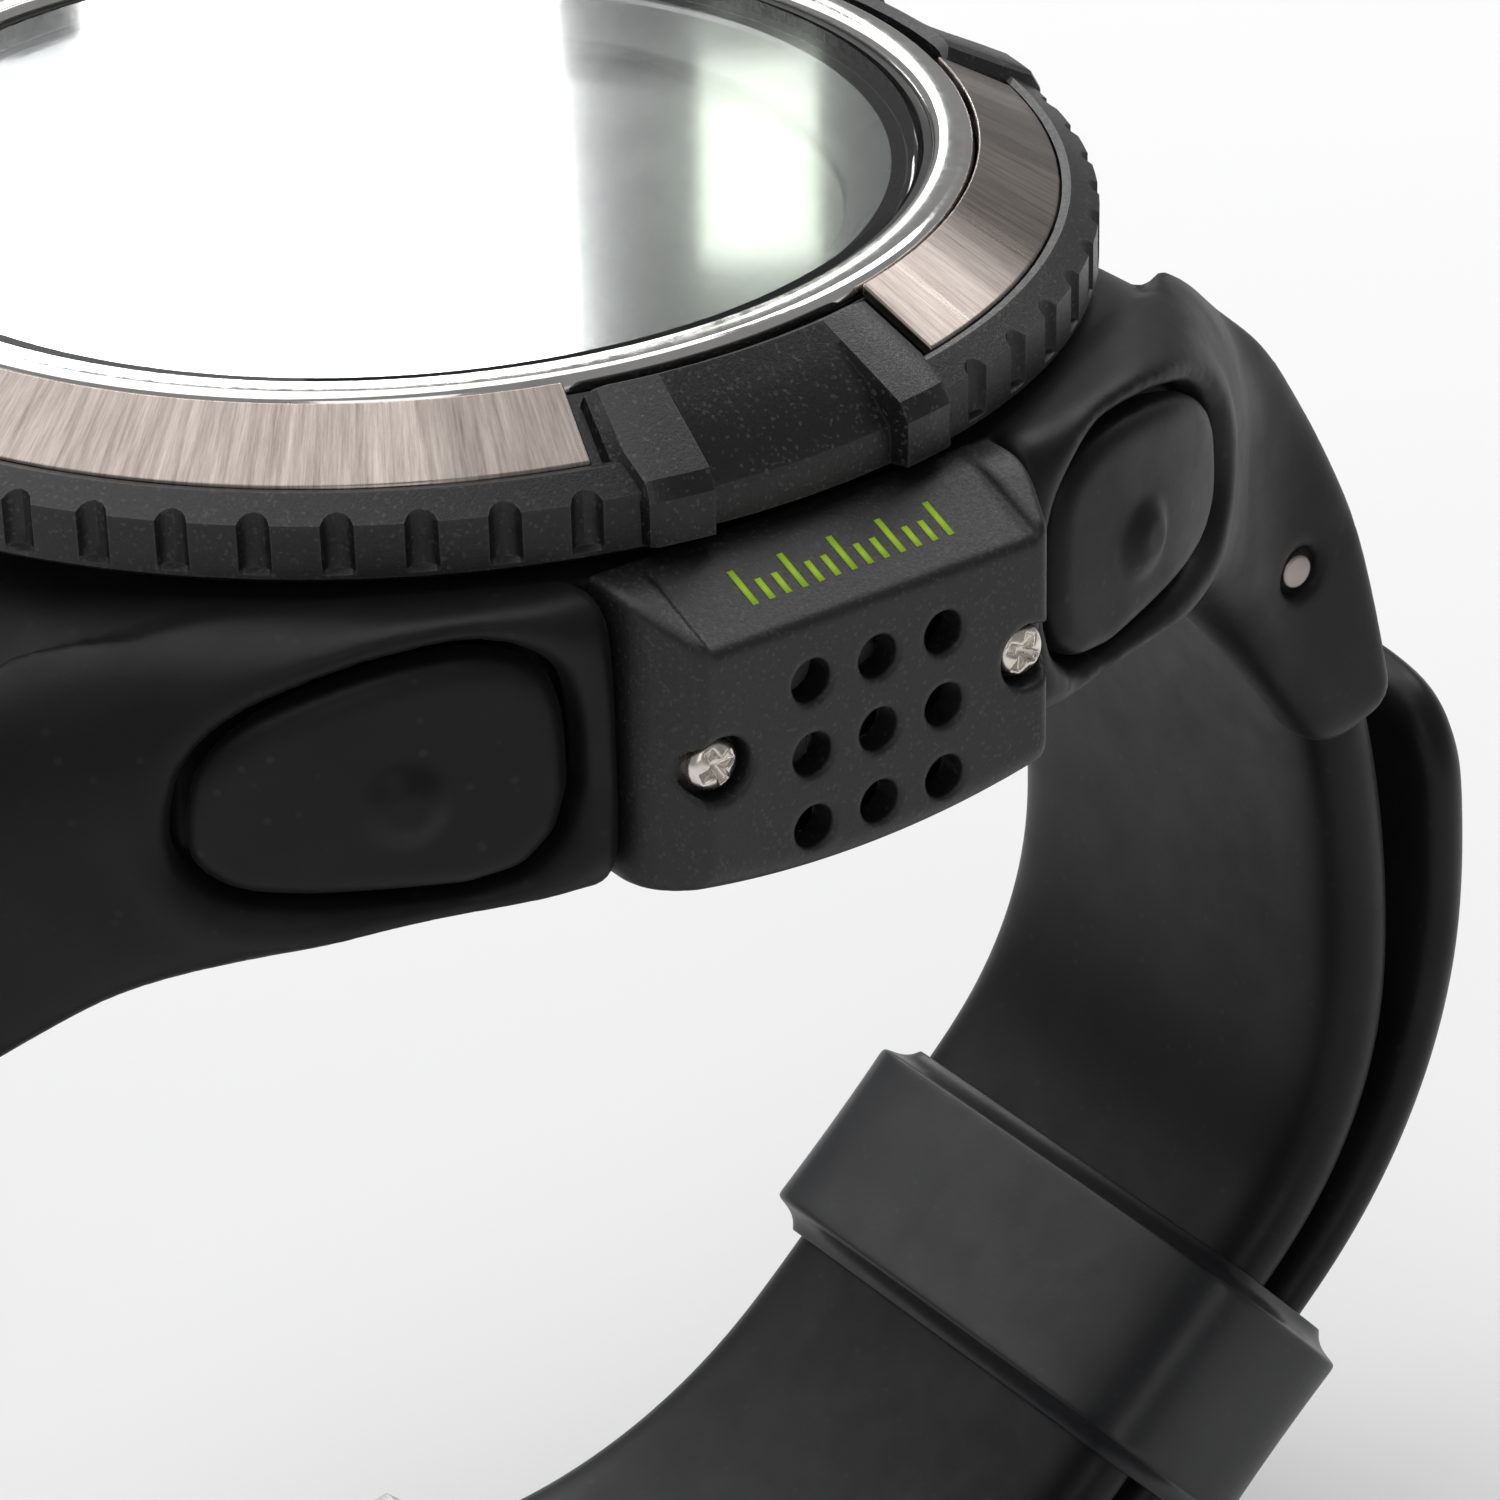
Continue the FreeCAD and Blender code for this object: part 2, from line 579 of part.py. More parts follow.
def makeButtons():
    """Push pad, plunger with its clip, spring and seal, four times."""
    pad = common([envelope("0.05"), padPrism("padCorner", size("buttonDepth"), "8")])
    socket = cylinder("plungerRadius", "plungerGrip + 0.2", inButton(1, size("buttonDepth") + 0.2))
    first = cut(pad, [socket])
    opposite = mirrored(first, Vector(0, 1, 0))
    pads = [opposite, first, mirrored(first, Vector(1, 0, 0)), mirrored(opposite, Vector(1, 0, 0))]
    for index in range(4):
        keep(pads[index], f"button_pad_{index + 1}")
        shaft = cylinder("plungerRadius", "plungerEnd - buttonDepth + plungerGrip",
                         inButton(index, size("plungerEnd")))
        keep(shaft, f"button_plunger_{index + 1}")
        clip = cut(cylinder("1.15", "0.25", inButton(index, size("plungerEnd") - 0.05)),
                   [cylinder("plungerRadius", "1", inButton(index, size("plungerEnd") + 0.2))])
        keep(clip, f"button_clip_{index + 1}")
        seal = torus("(plungerRadius + 1.25) / 2 + 0.01", "(1.25 - plungerRadius) / 2 - 0.03",
                     inButton(index, 8.9))
        keep(seal, f"button_seal_{index + 1}")
        keep(buttonSpring(index), f"button_spring_{index + 1}")


def buttonSpring(index):
    """Round-wire coil between the pad and the case middle."""
    wire, length = size("springWire"), size("springLength")
    spring = doc.addObject("Part::Feature", "Spring")
    path = Part.makeHelix(length / 5.2, length, size("springRadius"))
    section = Part.Wire(Part.makeCircle(wire, Vector(size("springRadius"), 0, 0), Vector(0, 1, 0)))
    spring.Shape = Part.Wire(path).makePipeShell([section], True, True)
    spring.Placement = inButton(index, size("buttonDepth") + 0.25 + length)
    return spring


# ---- electronics -----------------------------------------------------------------------

def makeElectronics():
    display = turned("display_module", [
        ("0", "displayTop - 1.3"), ("displayRadius", "displayTop - 1.3"),
        ("displayRadius", "displayTop"), ("0", "displayTop")])
    keep(display, "display_module")
    holder = turned("module_holder", [
        ("boardRadius + 0.1", "3.4"), ("holderRadius", "3.4"), ("holderRadius", "displayTop - 1.3"),
        ("boardRadius - 0.6", "displayTop - 1.3"), ("boardRadius - 0.6", "8.7"),
        ("boardRadius + 0.1", "8.7")])
    keep(holder, "module_holder")
    board = turned("circuit_board", [
        ("0", "7.7"), ("boardRadius", "7.7"), ("boardRadius", "8.6"), ("0", "8.6")])
    keep(board, "circuit_board")
    battery = turned("battery", [
        ("0", "3.6"), ("batteryRadius - 0.3", "3.6"), ("batteryRadius", "3.9"),
        ("batteryRadius", "6.6"), ("0", "6.6")])
    keep(battery, "battery")
    strip = block("20", "4", "0.25", Placement(Vector(0, 0, 6.7), Rotation()))
    foot = block("0.4", "4", "0.75", Placement(Vector(9.8, 0, 6.95), Rotation()))
    keep(fused([strip, foot]), "battery_contact")
    buzzer = turned("buzzer_disc", [
        ("0", "backStep + 0.95"), ("8", "backStep + 0.95"), ("8", "backStep + 1.25"),
        ("0", "backStep + 1.25")])
    keep(buzzer, "buzzer_disc")


# ---- depth sensor ----------------------------------------------------------------------

def makeSensor():
    """Pressure capsule, its seal, the cover with nine water ports and two screws."""
    capsule = fused([cylinder("sensorRadius", "6.9", atSensor(17.1)),
                     cylinder("sensorRadius + 0.45", "1", atSensor(22.4))])
    keep(capsule, "pressure_sensor")
    keep(torus("(sensorRadius + sensorBore) / 2", "(sensorBore - sensorRadius) / 2 - 0.02", atSensor(18.9)),
         "sensor_seal")
    side = [
        ("coverBack", "coverBottom"), ("25.6", "coverBottom"), ("coverFront", "coverBottom + 1.05"),
        ("coverFront", "coverFaceTop"), ("coverBack + 0.9", "coverTop"), ("coverBack", "coverTop")]
    plan = [
        ("coverBack", "-coverHalf"), ("25", "-coverHalf"), ("coverFront", "-coverFaceHalf"),
        ("coverFront", "coverFaceHalf"), ("25", "coverHalf"), ("coverBack", "coverHalf")]
    shell = common([extruded(side, "XZ", "30"), extruded(plan, "XY", "40")])
    tools = [block("8", "8.4", "3.2", Placement(Vector(size("coverBack"), 0, size("portHeight")), alongX))]
    for row in (-1, 0, 1):
        for column in (-1, 0, 1):
            place = atSensor(25, column * size("portPitch"), size("portHeight") + row * size("portPitch"))
            tools.append(cylinder("portRadius", "4", place))
    for index, end in enumerate((-1, 1)):
        spot = (end * size("coverScrewY"), size("coverScrewZ"))
        tools.append(cylinder("coverScrewHead + 0.2", "3", atSensor(26.4, *spot)))
        tools.append(cylinder("coverScrewHead - 0.4", "6", atSensor(22, *spot)))
        head = cylinder("coverScrewHead", "0.8", atSensor(26.4, *spot))
        shank = cylinder("coverScrewHead - 0.4", "5.4", atSensor(21, *spot))
        cross = [block(wide, tall, "0.4", atSensor(26.9, *spot))
                 for wide, tall in (("1.2", "0.3"), ("0.3", "1.2"))]
        keep(cut(fused([head, shank]), cross), f"sensor_screw_{index + 1}")
    keep(cut(shell, tools), "sensor_cover")


# ---- straps ----------------------------------------------------------------------------

def walk(start, heading, steps, offset):
    """Edges of a path of (length,) runs and (angle, radius) bends, shifted to its right by offset.

    The path lies in the YZ plane, and a positive angle turns left."""
    edges = []
    along = Vector(0, math.cos(heading), math.sin(heading))
    place = start
    for step in steps:
        right = Vector(0, along.z, -along.y)
        if len(step) == 1:
            after = place + along * step[0]
            edges.append(Part.makeLine(place + right * offset, after + right * offset))
            place = after
            continue
        angle, radius = math.radians(step[0]), step[1]
        side = -1 if angle > 0 else 1
        centre = place + right * (side * radius)
        points = []
        for share in (0.0, 0.5, 1.0):
            turn = Rotation(Vector(1, 0, 0), math.degrees(angle * share))
            points.append(centre + turn.multVec(place + right * offset - centre))
        edges.append(Part.Arc(*points).toShape())
        place = centre + Rotation(Vector(1, 0, 0), math.degrees(angle)).multVec(place - centre)
        along = Rotation(Vector(1, 0, 0), math.degrees(angle)).multVec(along)
    return edges, place, along


def band(start, heading, steps, halfWidth, thickness):
    """Solid of a strap whose inner face follows the path."""
    inner, _, _ = walk(start, heading, steps, 0.0)
    outer, _, _ = walk(start, heading, steps, thickness)
    firstCap = Part.makeLine(inner[0].Vertexes[0].Point, outer[0].Vertexes[0].Point)
    lastCap = Part.makeLine(inner[-1].Vertexes[-1].Point, outer[-1].Vertexes[-1].Point)
    wire = Part.Wire(Part.__sortEdges__(inner + outer + [firstCap, lastCap]))
    face = Part.Face(wire)
    face.translate(Vector(-halfWidth, 0, 0))
    return face.extrude(Vector(2 * halfWidth, 0, 0))


def risingSteps(extra=0.0):
    """Bends from the loop's flat bottom up to the horns, on a face that far outside the inner one."""
    return [
        (size("underBend"), size("underRadius") + extra),
        (size("keeperRun"),),
        (size("sideBend"), size("sideRadius") + extra),
        (size("upperBend"), size("upperRadius") + extra),
        (size("neckBend"), size("neckRadius") + extra),
    ]


def strapPin():
    """Centre of the twelve o'clock strap pin: where the short strap's centre line ends."""
    start = Vector(0, size("bottomHalf"), size("bottomFace"))
    _, place, along = walk(start, 0.0, risingSteps(), 0.0)
    return place + Vector(0, along.z, -along.y) * (size("strapThick") / 2)


def rodX(radius, half, y, z):
    return Part.makeCylinder(radius, 2 * half, Vector(-half, y, z), Vector(1, 0, 0))


def slabX(lowX, highX, lowY, highY, lowZ, highZ):
    return Part.makeBox(highX - lowX, highY - lowY, highZ - lowZ, Vector(lowX, lowY, lowZ))


def makeShortStrap():
    """Buckle-side strap, from the twelve o'clock pin down to the buckle pin."""
    pin = strapPin()
    half = size("strapHalf")
    pinY, pinZ = size("bucklePinY"), size("bucklePinZ")
    steps = [(size("bottomHalf") - pinY,)] + risingSteps()
    solid = band(Vector(0, pinY, size("bottomFace")), 0.0, steps, half, size("strapThick"))
    solid = solid.fuse([rodX(size("knuckleRadius"), half, pin.y, pin.z),
                        rodX(size("buckleEye"), half, pinY, pinZ)])
    gap = slabX(-size("tongueHalf") - 0.4, size("tongueHalf") + 0.4, pinY - 3, pinY + 3.4, pinZ - 4, pinZ + 4)
    solid = solid.cut([rodX(size("pinRadius") + 0.05, half, pin.y, pin.z),
                       rodX(size("bucklePinRadius"), half, pinY, pinZ), gap])
    strap = doc.addObject("Part::Feature", "ShortStrap")
    strap.Shape = solid.removeSplitter()
    keep(strap, "strap_short")


def makeLongStrap():
    """Hole-side strap: down the far side, out through the buckle and up outside the short strap."""
    pin = strapPin()
    half, thick = size("strapHalf"), size("strapThick")
    outside = thick + size("strapGap")
    falling = list(reversed(risingSteps()))
    dip, level = size("crossingOut"), size("crossingIn")
    swing = math.degrees(math.acos(1 - outside / (dip + level)))
    crossing = (dip + level) * math.sin(math.radians(swing))
    start, bottom = size("crossingStart"), size("bottomHalf")
    tail = risingSteps(outside)[:2] + [(size("sideBend"), size("sideRadius") + outside + size("tailEase")),
                                       (size("tailBend"), size("upperRadius") + outside)]
    steps = falling + [(start + bottom,), (-swing, dip), (swing, level), (bottom - start - crossing,)] + tail
    heading = -math.radians(sum(step[0] for step in falling if len(step) == 2))
    right = Vector(0, math.sin(heading), -math.cos(heading))
    place = Vector(0, -pin.y, pin.z) - right * (thick / 2)
    solid = band(place, heading, steps, half, thick).fuse(rodX(size("knuckleRadius"), half, -pin.y, pin.z))
    wide = size("tongueHalf") + 0.35
    solid = solid.cut([rodX(size("pinRadius") + 0.05, half, -pin.y, pin.z),
                       slabX(-wide, wide, -8.0, 3.2, -60, -48)])
    strap = doc.addObject("Part::Feature", "LongStrap")
    strap.Shape = solid.removeSplitter()
    keep(strap, "strap_long")


def makeStrapPins():
    pin = strapPin()
    for name, side in (("strap_pin_12", 1), ("strap_pin_6", -1)):
        place = Placement(Vector(-size("hornHalf") - 0.1, side * pin.y, pin.z), alongX)
        keep(cylinder("pinRadius", "2 * hornHalf + 0.2", place), name)


def makeKeeper():
    """Rubber band round both layers on the straight stretch."""
    angle = size("underBend")
    start = Vector(0, size("bottomHalf"), size("bottomFace"))
    _, low, along = walk(start, 0.0, risingSteps()[:1], 0.0)
    middle = low + along * (size("keeperRun") / 2 + size("keeperShift"))
    right = Vector(0, along.z, -along.y)
    both = 2 * size("strapThick") + size("strapGap")
    place = Placement(middle + right * (both / 2), Rotation(Vector(1, 0, 0), angle))
    across, deep = "strapHalf + keeperEase", "strapThick + strapGap / 2 + keeperEase"
    outer = block(f"2 * ({across} + keeperWall)", "keeperLength", f"2 * ({deep} + keeperWall)",
                  place.multiply(Placement(Vector(0, 0, -size(f"{deep} + keeperWall")), Rotation())))
    inner = block(f"2 * ({across})", "keeperLength + 2", f"2 * ({deep})",
                  place.multiply(Placement(Vector(0, 0, -size(deep)), Rotation())))
    keep(cut(outer, [inner]), "strap_keeper")


def makeBuckle():
    """Open frame and tongue on a pin through the short strap's end."""
    y, z = size("bucklePinY"), size("bucklePinZ")
    inside = "strapHalf + buckleClear"
    outside = f"{inside} + buckleArm"
    pinPlace = Placement(Vector(-size(outside) + 0.2, y, z), alongX)
    keep(cylinder("bucklePinRadius", f"2 * ({outside}) - 0.4", pinPlace), "buckle_pin")
    arm = [
        ("bucklePinY + 0.4", "bucklePinZ - buckleEye"), ("bucklePinY + buckleEye", "bucklePinZ"),
        ("bucklePinY", "bucklePinZ + buckleEye"), ("barInner", "barTop + 1.4"),
        ("barOuter - 0.2", "barTop + 0.7"), ("barOuter - 0.8", "barTop - 0.3"),
        ("barOuter + 0.2", "barBottom"), ("barInner + 0.4", "barBottom")]
    arms = extruded(arm, "YZ", f"2 * ({outside})")
    hollow = block(f"2 * ({inside})", "40", "20", Placement(Vector(0, y - 13, z - 12), Rotation()))
    bore = cylinder("buckleBore", "60", Placement(Vector(-30, y, z), alongX))
    bar = extruded([
        ("barOuter", "barTop"), ("barOuter + 0.2", "barBottom"), ("barInner - 0.2", "barBottom"),
        ("barInner", "barTop")], "YZ", f"2 * ({inside}) + 2")
    keep(fused([cut(arms, [hollow, bore]), bar]), "buckle_frame")
    place = Placement(Vector(0, y, z), Rotation(Vector(1, 0, 0), size("tongueAngle")))
    shank = block("2 * tongueHalf", "22.6", "tongueThick",
                  place.multiply(Placement(Vector(0, -11.5, -size("tongueThick") / 2), Rotation())))
    eye = cylinder("buckleEye - 0.25", "2 * tongueHalf", Placement(Vector(-size("tongueHalf"), y, z), alongX))
    bore = cylinder("buckleBore", "10", Placement(Vector(-5, y, z), alongX))
    keep(cut(fused([shank, eye]), [bore]), "buckle_tongue")


def checkAndExport():
    doc.recompute()
    faults = [item.Label for item in doc.Objects if {"Invalid", "Error"} & set(item.State)]
    for node in nodes:
        shape = node.Shape
        if shape.isNull() or not shape.isValid() or not shape.Solids or shape.Volume <= 0:
            faults.append(f"{node.Label} shape")
    if faults:
        raise RuntimeError(f"failed objects: {faults}")
    os.makedirs("parts", exist_ok=True)
    for node in nodes:
        node.Shape.exportStep(os.path.join("parts", f"{node.Label}.step"))
        print(node.Label, len(node.Shape.Solids), round(node.Shape.Volume, 2))


fillSheet()
makeGlass()
makeBezelRing()
makeInsert()
makeGrips()
makeClickSpring()
makeCaseMiddle()
makeCaseBack()
makeJacket()
makeButtons()
makeElectronics()
makeSensor()
makeStrapPins()
makeShortStrap()
makeLongStrap()
makeKeeper()
makeBuckle()
checkAndExport()
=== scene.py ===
import bmesh
import bpy
import math
import numpy as np
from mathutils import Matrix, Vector


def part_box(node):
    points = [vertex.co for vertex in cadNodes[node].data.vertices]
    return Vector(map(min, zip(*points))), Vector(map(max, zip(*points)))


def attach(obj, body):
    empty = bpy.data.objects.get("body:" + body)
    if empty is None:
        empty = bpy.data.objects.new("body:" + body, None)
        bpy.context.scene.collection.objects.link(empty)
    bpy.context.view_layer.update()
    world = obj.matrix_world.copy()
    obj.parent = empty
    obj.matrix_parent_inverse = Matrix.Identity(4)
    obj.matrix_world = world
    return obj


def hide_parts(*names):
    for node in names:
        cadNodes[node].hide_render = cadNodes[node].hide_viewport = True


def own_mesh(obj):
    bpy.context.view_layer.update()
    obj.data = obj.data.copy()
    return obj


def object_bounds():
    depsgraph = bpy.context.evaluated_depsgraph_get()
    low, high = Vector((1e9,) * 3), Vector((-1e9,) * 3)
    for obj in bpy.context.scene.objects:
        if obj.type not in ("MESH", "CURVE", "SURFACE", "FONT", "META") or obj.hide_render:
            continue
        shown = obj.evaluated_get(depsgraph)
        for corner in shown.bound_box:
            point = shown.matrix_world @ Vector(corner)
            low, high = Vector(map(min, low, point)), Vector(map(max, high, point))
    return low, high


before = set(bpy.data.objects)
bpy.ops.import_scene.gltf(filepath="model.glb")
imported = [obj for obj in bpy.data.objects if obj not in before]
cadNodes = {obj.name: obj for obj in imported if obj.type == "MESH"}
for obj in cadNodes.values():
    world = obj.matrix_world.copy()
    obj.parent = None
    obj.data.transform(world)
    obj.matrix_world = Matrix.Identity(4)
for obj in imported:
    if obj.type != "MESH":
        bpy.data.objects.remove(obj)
cadBox = [list(corner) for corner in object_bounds()]
mm = 0.001
print("frame loaded:", len(cadNodes), "nodes")


# One function makes each kind of material; the finishes that use them come after.

def startMaterial(name):
    material = bpy.data.materials.new(name)
    material.use_nodes = True
    material.node_tree.nodes.clear()
    return material, material.node_tree.nodes, material.node_tree.links


def placeNodes(groups, rows):
    # each effect's frame with its nodes, and rows of nodes from left to right
    for group, members in groups:
        for node in members:
            node.parent = group
    for down, row in enumerate(rows):
        for across, node in enumerate(row):
            node.location = (220 * across, -260 * down)


def mouldedRubber(name, look):
    material, nodes, links = startMaterial(name)
    colourFrame = nodes.new("NodeFrame")
    colourFrame.label = "Colour of the compound"
    glossFrame = nodes.new("NodeFrame")
    glossFrame.label = "Satin skin"
    grainFrame = nodes.new("NodeFrame")
    grainFrame.label = "Mould grain"

    place = nodes.new("ShaderNodeTexCoord")
    place.label = "Place on the moulding"
    cloud = nodes.new("ShaderNodeTexNoise")
    cloud.label = "Uneven compound"
    cloud.inputs["Scale"].default_value = look["cloud"]
    cloud.inputs["Detail"].default_value = 4
    cloudRange = nodes.new("ShaderNodeMapRange")
    cloudRange.label = "How uneven"
    cloudRange.inputs["From Min"].default_value = 0.35
    cloudRange.inputs["From Max"].default_value = 0.65
    compound = nodes.new("ShaderNodeMix")
    compound.label = "Dark to light compound"
    compound.data_type = "RGBA"
    compound.inputs["A"].default_value = (*look["dark"], 1)
    compound.inputs["B"].default_value = (*look["light"], 1)
    specks = nodes.new("ShaderNodeTexVoronoi")
    specks.label = "Fine dust"
    specks.inputs["Scale"].default_value = look["dustScale"]
    speckRange = nodes.new("ShaderNodeMapRange")
    speckRange.label = "Only the middle of a speck"
    speckRange.inputs["From Min"].default_value = 0.16
    speckRange.inputs["From Max"].default_value = 0.06
    speckRange.inputs["To Max"].default_value = look["dust"]
    dusted = nodes.new("ShaderNodeMix")
    dusted.label = "Dust on the compound"
    dusted.data_type = "RGBA"
    dusted.inputs["B"].default_value = (0.16, 0.155, 0.15, 1)

    rub = nodes.new("ShaderNodeTexNoise")
    rub.label = "Rubbed patches"
    rub.inputs["Scale"].default_value = look["rub"]
    rub.inputs["Detail"].default_value = 6
    rub.inputs["Roughness"].default_value = 0.62
    rubRange = nodes.new("ShaderNodeMapRange")
    rubRange.label = "Roughness from rubbed to fresh"
    rubRange.inputs["From Min"].default_value = 0.3
    rubRange.inputs["From Max"].default_value = 0.7
    rubRange.inputs["To Min"].default_value = look["roughness"] - 0.06
    rubRange.inputs["To Max"].default_value = look["roughness"] + 0.06

    grain = nodes.new("ShaderNodeTexNoise")
    grain.label = "Spark-eroded grain"
    grain.inputs["Scale"].default_value = look["grain"]
    grain.inputs["Detail"].default_value = 3
    grain.inputs["Roughness"].default_value = 0.7
    wave = nodes.new("ShaderNodeTexNoise")
    wave.label = "Slight waviness"
    wave.inputs["Scale"].default_value = look["grain"] / 14
    relief = nodes.new("ShaderNodeMath")
    relief.label = "Grain and waviness"
    relief.operation = "ADD"
    bump = nodes.new("ShaderNodeBump")
    bump.label = "Depth of the grain"
    bump.inputs["Strength"].default_value = look["bump"]
    bump.inputs["Distance"].default_value = 0.00003

    skin = nodes.new("ShaderNodeBsdfPrincipled")
    skin.label = "Rubber"
    skin.inputs["IOR"].default_value = 1.5
    skin.inputs["Specular IOR Level"].default_value = look["specular"]
    skin.inputs["Sheen Weight"].default_value = look["sheen"]
    skin.inputs["Sheen Roughness"].default_value = 0.45
    output = nodes.new("ShaderNodeOutputMaterial")
    output.label = "Surface"

    placeNodes([
        (colourFrame, [cloud, cloudRange, compound, specks, speckRange, dusted]),
        (glossFrame, [rub, rubRange]),
        (grainFrame, [grain, wave, relief, bump]),
    ], [
        [place, cloud, cloudRange, compound, dusted, skin, output],
        [specks, speckRange],
        [rub, rubRange],
        [grain, wave, relief, bump],
    ])
    links.new(place.outputs["Object"], cloud.inputs["Vector"])
    links.new(place.outputs["Object"], specks.inputs["Vector"])
    links.new(place.outputs["Object"], rub.inputs["Vector"])
    links.new(place.outputs["Object"], grain.inputs["Vector"])
    links.new(place.outputs["Object"], wave.inputs["Vector"])
    links.new(cloud.outputs["Fac"], cloudRange.inputs["Value"])
    links.new(cloudRange.outputs["Result"], compound.inputs["Factor"])
    links.new(compound.outputs["Result"], dusted.inputs["A"])
    links.new(specks.outputs["Distance"], speckRange.inputs["Value"])
    links.new(speckRange.outputs["Result"], dusted.inputs["Factor"])
    links.new(dusted.outputs["Result"], skin.inputs["Base Color"])
    links.new(rub.outputs["Fac"], rubRange.inputs["Value"])
    links.new(rubRange.outputs["Result"], skin.inputs["Roughness"])
    links.new(grain.outputs["Fac"], relief.inputs[0])
    links.new(wave.outputs["Fac"], relief.inputs[1])
    links.new(relief.outputs["Value"], bump.inputs["Height"])
    links.new(bump.outputs["Normal"], skin.inputs["Normal"])
    links.new(skin.outputs["BSDF"], output.inputs["Surface"])
    return material


def grainedResin(name, look):
    material, nodes, links = startMaterial(name)
    wearFrame = nodes.new("NodeFrame")
    wearFrame.label = "Edges rubbed bare"
    # painted glint: some cells of the grain get a lighter colour that stands in for light glinting off it
    paintedGlintFrame = nodes.new("NodeFrame")
    paintedGlintFrame.label = "Painted glint"
    grainFrame = nodes.new("NodeFrame")
    grainFrame.label = "Moulded grain"

    place = nodes.new("ShaderNodeTexCoord")
    place.label = "Place on the part"
    rounded = nodes.new("ShaderNodeBevel")
    rounded.label = "Normal over the edges"
    rounded.samples = 4
    rounded.inputs["Radius"].default_value = look["wearWidth"]
    real = nodes.new("ShaderNodeNewGeometry")
    real.label = "Real normal"
    turned = nodes.new("ShaderNodeVectorMath")
    turned.label = "How far it turns"
    turned.operation = "DOT_PRODUCT"
    patchy = nodes.new("ShaderNodeTexNoise")
    patchy.label = "Patchy wear"
    patchy.inputs["Scale"].default_value = 1800
    patchy.inputs["Detail"].default_value = 5
    nearEdge = nodes.new("ShaderNodeMapRange")
    nearEdge.label = "Near an edge"
    nearEdge.inputs["From Min"].default_value = 0.985
    nearEdge.inputs["From Max"].default_value = 0.86
    worn = nodes.new("ShaderNodeMath")
    worn.label = "Worn there"
    worn.operation = "MULTIPLY"
    amount = nodes.new("ShaderNodeMath")
    amount.label = "Amount of wear"
    amount.operation = "MULTIPLY"
    amount.inputs[1].default_value = look["wear"]

    # painted glints: the lighter flecks stand for light caught by the grain's facets, not for a colour of the
    # resin
    cells = nodes.new("ShaderNodeTexVoronoi")
    cells.label = "Flecks"
    cells.inputs["Scale"].default_value = look["fleck"]
    pick = nodes.new("ShaderNodeSeparateColor")
    pick.label = "One number per glint cell"
    glintMask = nodes.new("ShaderNodeMapRange")
    glintMask.label = "Painted glint on some cells"
    glintMask.inputs["From Min"].default_value = 0.88
    glintMask.inputs["From Max"].default_value = 0.98
    glintMask.inputs["To Max"].default_value = look["paintedGlint"]
    cloud = nodes.new("ShaderNodeTexNoise")
    cloud.label = "Uneven resin"
    cloud.inputs["Scale"].default_value = 260
    cloud.inputs["Detail"].default_value = 5
    base = nodes.new("ShaderNodeMix")
    base.label = "Resin colour"
    base.data_type = "RGBA"
    base.inputs["A"].default_value = (*look["dark"], 1)
    base.inputs["B"].default_value = (*look["light"], 1)
    paintedGlints = nodes.new("ShaderNodeMix")
    paintedGlints.label = "Painted glints on the resin"
    paintedGlints.data_type = "RGBA"
    paintedGlints.inputs["B"].default_value = (*look["paintedGlintColour"], 1)
    rubbed = nodes.new("ShaderNodeMix")
    rubbed.label = "Bare edge"
    rubbed.data_type = "RGBA"
    rubbed.inputs["B"].default_value = (*look["bare"], 1)

    grain = nodes.new("ShaderNodeTexNoise")
    grain.label = "Fine grain"
    grain.inputs["Scale"].default_value = look["grain"]
    grain.inputs["Detail"].default_value = 3
    grain.inputs["Roughness"].default_value = 0.75
    roughRange = nodes.new("ShaderNodeMapRange")
    roughRange.label = "Roughness of the grain"
    roughRange.inputs["From Min"].default_value = 0.3
    roughRange.inputs["From Max"].default_value = 0.7
    roughRange.inputs["To Min"].default_value = look["roughness"] - 0.1
    roughRange.inputs["To Max"].default_value = look["roughness"] + 0.08
    bump = nodes.new("ShaderNodeBump")
    bump.label = "Depth of the grain"
    bump.inputs["Strength"].default_value = look["bump"]
    bump.inputs["Distance"].default_value = 0.00004

    resin = nodes.new("ShaderNodeBsdfPrincipled")
    resin.label = "Resin"
    resin.inputs["IOR"].default_value = 1.52
    resin.inputs["Specular IOR Level"].default_value = look["specular"]
    output = nodes.new("ShaderNodeOutputMaterial")
    output.label = "Surface"

    placeNodes([
        (wearFrame, [rounded, real, turned, patchy, nearEdge, worn, amount, rubbed]),
        (paintedGlintFrame, [cells, pick, glintMask, paintedGlints]),
        (grainFrame, [grain, roughRange, bump]),
    ], [
        [place, cloud, base, paintedGlints, rubbed, resin, output],
        [cells, pick, glintMask],
        [rounded, real, turned, nearEdge, worn, amount],
        [patchy],
        [grain, roughRange, bump],
    ])
    links.new(place.outputs["Object"], cloud.inputs["Vector"])
    links.new(place.outputs["Object"], cells.inputs["Vector"])
    links.new(place.outputs["Object"], patchy.inputs["Vector"])
    links.new(place.outputs["Object"], grain.inputs["Vector"])
    links.new(cloud.outputs["Fac"], base.inputs["Factor"])
    links.new(cells.outputs["Color"], pick.inputs["Color"])
    links.new(pick.outputs["Red"], glintMask.inputs["Value"])
    links.new(glintMask.outputs["Result"], paintedGlints.inputs["Factor"])
    links.new(base.outputs["Result"], paintedGlints.inputs["A"])
    links.new(paintedGlints.outputs["Result"], rubbed.inputs["A"])
    links.new(rounded.outputs["Normal"], turned.inputs[0])
    links.new(real.outputs["Normal"], turned.inputs[1])
    links.new(turned.outputs["Value"], nearEdge.inputs["Value"])
    links.new(nearEdge.outputs["Result"], worn.inputs[0])
    links.new(patchy.outputs["Fac"], worn.inputs[1])
    links.new(worn.outputs["Value"], amount.inputs[0])
